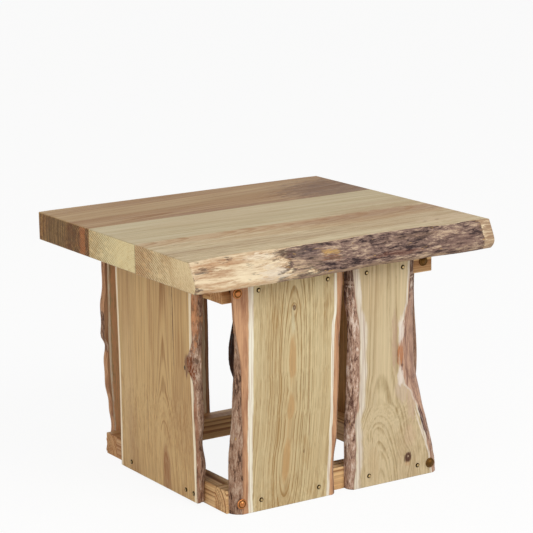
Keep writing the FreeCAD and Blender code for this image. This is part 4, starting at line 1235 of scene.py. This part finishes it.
class TABLE_OT_fixings(bpy.types.Operator):
    """Finish the bolts, the cross dowels and the screws"""

    bl_idname = "table.fixings"
    bl_label = "Finish Fixings"

    # The direction in which the heads of each group look.
    FACINGS = {
        "front_carriage_bolts": Vector((0, -1, 0)), "back_carriage_bolts": Vector((0, 1, 0)),
        "front_board_screws": Vector((0, -1, 0)), "back_board_screws": Vector((0, 1, 0)),
        "left_board_screws": Vector((-1, 0, 0)), "right_board_screws": Vector((1, 0, 0)),
        "top_screws": Vector((0, 0, -1)),
    }
    # The outline of a bolt's head: distance from its middle line and above its seat.
    BOLT_HEAD = [
        (0, 4.5), (1.8, 4.38), (3.4, 3.95), (4.6, 3.2), (5.4, 2.3), (5.9, 1.75), (6.3, 1.7),
        (6.8, 2.1), (7.5, 2.3), (8.2, 2.05), (8.8, 1.3), (9, 0.6), (9, 0), (0, 0),
    ]
    HEAD_STEPS = 32
    # How far below its seat the plain head is cut off.
    UNDER_SEAT = 0.2 * MM

    def execute(self, context):
        metals = context.scene.table_metals
        bolt = metal_material("copper plating", metals.copper[:], metals.bronze[:],
                              wear=(0.0, 1.0), ring=(6.1, 1.3))
        # On the screws the ring darkens the rim of each head as painted shade and leaves the middle
        # as a painted highlight.
        screw = metal_material("bronzed steel", metals.screw[:], metals.screw_rim_shade[:],
                               wear=(0.1, 0.1), ring=(4.4, 3.0))
        for node, facing in self.FACINGS.items():
            is_bolt = node.endswith("bolts")
            mesh = merged(node)
            if is_bolt:
                self.turn_heads(mesh, facing)
            self.mark_reach(mesh, facing)
            for face in mesh.faces:
                face.smooth = is_bolt
            piece = finished(mesh, node + "_finish", [bolt if is_bolt else screw])
            settle(piece, node)
        zinc = metal_material("zinc plating", metals.zinc[:], metals.zinc[:], wear=(0.3, 0.3))
        for node in ("front_cross_dowels", "back_cross_dowels"):
            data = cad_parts[node].data
            data.materials.clear()
            data.materials.append(zinc)
        return {"FINISHED"}

    @staticmethod
    def tip(solid, facing):
        """The foremost point of a fixing's middle line."""
        low = Vector([min(vertex.co[axis] for vertex in solid) for axis in range(3)])
        high = Vector([max(vertex.co[axis] for vertex in solid) for axis in range(3)])
        return (low + high) / 2 + facing * abs((high - low).dot(facing)) / 2

    def mark_reach(self, mesh, facing):
        """Write each vertex's distance from its own fixing's middle line."""
        layer = mesh.verts.layers.float.new("reach")
        for solid in solids_of(mesh):
            tip = self.tip(solid, facing)
            for vertex in solid:
                apart = vertex.co - tip
                vertex[layer] = (apart - facing * apart.dot(facing)).length

    def turn_heads(self, mesh, facing):
        """Swap the plain heads of the bolts for heads with a dome and a rolled rim."""
        for solid in solids_of(mesh):
            seat = self.tip(solid, facing) - facing * self.BOLT_HEAD[0][1] * MM
            edges = {edge for vertex in solid for edge in vertex.link_edges}
            faces = {face for vertex in solid for face in vertex.link_faces}
            cut = bmesh.ops.bisect_plane(mesh, geom=[*solid, *edges, *faces], dist=0.001 * MM,
                                         plane_co=seat - facing * self.UNDER_SEAT,
                                         plane_no=facing, clear_outer=True)
            rim = [part for part in cut["geom_cut"] if isinstance(part, bmesh.types.BMEdge)]
            bmesh.ops.holes_fill(mesh, edges=rim, sides=0)
            side = facing.orthogonal().normalized()
            outline = [mesh.verts.new(seat + side * out * MM + facing * up * MM)
                       for out, up in self.BOLT_HEAD]
            lines = [mesh.edges.new(pair) for pair in zip(outline, outline[1:])]
            bmesh.ops.spin(mesh, geom=[*outline, *lines], cent=seat, axis=facing, angle=math.tau,
                           steps=self.HEAD_STEPS, use_merge=True)
        bmesh.ops.remove_doubles(mesh, verts=mesh.verts, dist=NODE_WELD)
        bmesh.ops.recalc_face_normals(mesh, faces=mesh.faces)


class TABLE_OT_stage(bpy.types.Operator):
    """Set the floor, the lamps and the camera"""

    bl_idname = "table.stage"
    bl_label = "Set Stage"

    FLOOR_HALF = 24.0
    SENSOR = 36.0
    LAMP_TARGET = Vector((0.0, 0.0, 0.25))
    # Where each lamp stands and how wide it is.
    LAMPS = {"key": (Vector((0.9, -3.2, 3.0)), 2.6), "fill": (Vector((-3.0, -1.6, 1.8)), 2.4)}

    def execute(self, context):
        stage = context.scene.table_stage
        self.add_floor(stage)
        self.add_world(context, stage)
        for name, (place, wide) in self.LAMPS.items():
            self.add_lamp(name, place, wide, getattr(stage, name + "_power"))
        self.add_camera(context, stage)
        context.scene.view_settings.view_transform = "Standard"
        return {"FINISHED"}

    def add_floor(self, stage):
        mesh = bmesh.new()
        bmesh.ops.create_grid(mesh, x_segments=1, y_segments=1, size=self.FLOOR_HALF)

        def build(graph, principled):
            place = graph.node("ShaderNodeTexCoord").outputs["Object"]
            cloud = graph.noise(place, scale=1.2, detail=2)
            pale = graph.mix(graph.times(cloud, 0.04), stage.floor[:], WHITE)
            graph.fill(principled.inputs, {
                "Base Color": pale, "Roughness": 0.85, "Specular IOR Level": 0.1})
            glow = graph.node("ShaderNodeEmission", {"Color": WHITE, "Strength": 1.0})
            share = graph.times(self.seen(graph), stage.backdrop)
            both = graph.node("ShaderNodeMixShader", {
                0: share, 1: principled.outputs[0], 2: glow.outputs[0]})
            output = first_node(graph.tree, "OUTPUT_MATERIAL")
            graph.feed(output.inputs["Surface"], both.outputs[0])

        finished(mesh, "floor", [shader("floor", build)])

    @staticmethod
    def seen(graph):
        """One for rays that show the surroundings, zero for rays that light the table."""
        path = graph.node("ShaderNodeLightPath").outputs
        shine = graph.math("MAXIMUM", path["Is Glossy Ray"], path["Is Transmission Ray"])
        return graph.math("MAXIMUM", path["Is Camera Ray"], shine)

    def add_world(self, context, stage):
        world = bpy.data.worlds.new("studio")
        context.scene.world = world
        world.use_nodes = True
        graph = Graph(world.node_tree)
        strength = graph.smooth(self.seen(graph), 0.0, 1.0, stage.sky, 1.0)
        background = first_node(graph.tree, "BACKGROUND")
        graph.fill(background.inputs, {"Strength": strength, "Color": WHITE})

    def add_lamp(self, name, place, wide, watts):
        lamp = bpy.data.lights.new(name, "AREA")
        lamp.shape = "SQUARE"
        lamp.size = wide
        lamp.energy = watts
        turn = (place - self.LAMP_TARGET).to_track_quat("Z", "Y").to_matrix().to_4x4()
        linked(name, lamp).matrix_world = Matrix.Translation(place) @ turn

    def add_camera(self, context, stage):
        yaw, pitch, roll = stage.yaw, stage.pitch, stage.roll
        ahead = Vector((math.sin(yaw), math.cos(yaw), 0.0))
        forward = ahead * math.cos(pitch) - Vector((0.0, 0.0, math.sin(pitch)))
        level = Vector((math.cos(yaw), -math.sin(yaw), 0.0))
        upright = level.cross(forward)
        right = level * math.cos(roll) + upright * math.sin(roll)
        up = upright * math.cos(roll) - level * math.sin(roll)
        place = Vector(stage.target) - forward * stage.distance
        turn = Matrix((right, up, -forward)).transposed().to_4x4()
        lens = bpy.data.cameras.new("camera")
        lens.sensor_width = self.SENSOR
        lens.lens = stage.focal / MM
        lens.clip_end = 100.0
        camera = linked("camera", lens)
        camera.matrix_world = Matrix.Translation(place) @ turn
        context.scene.camera = camera


class TABLE_PT_panel(bpy.types.Panel):
    """The steps and settings of the table"""

    bl_idname = "TABLE_PT_panel"
    bl_label = "Side Table"
    bl_space_type = "VIEW_3D"
    bl_region_type = "UI"
    bl_category = "Side Table"

    def draw(self, context):
        layout = self.layout
        for operator in OPERATORS:
            layout.operator(operator.bl_idname)
        for title, settings in SETTINGS.items():
            box = layout.box()
            group = getattr(context.scene, title)
            for name in settings.__annotations__:
                box.prop(group, name)


SETTINGS = {
    "table_woods": TableWoods,
    "table_barks": TableBarks,
    "table_metals": TableMetals,
    "table_sizes": TableSizes,
    "table_stage": TableStage,
}
OPERATORS = (TABLE_OT_boards, TABLE_OT_top, TABLE_OT_rails, TABLE_OT_fixings, TABLE_OT_stage)


def register():
    for title, settings in SETTINGS.items():
        bpy.utils.register_class(settings)
        setattr(bpy.types.Scene, title, PointerProperty(type=settings))
    for operator in OPERATORS:
        bpy.utils.register_class(operator)
    bpy.utils.register_class(TABLE_PT_panel)


def unregister():
    bpy.utils.unregister_class(TABLE_PT_panel)
    for operator in reversed(OPERATORS):
        bpy.utils.unregister_class(operator)
    for title, settings in SETTINGS.items():
        delattr(bpy.types.Scene, title)
        bpy.utils.unregister_class(settings)


def main():
    register()
    bpy.ops.table.boards()
    bpy.ops.table.top()
    bpy.ops.table.rails()
    bpy.ops.table.fixings()
    bpy.ops.table.stage()


if __name__ == "__main__":
    main()
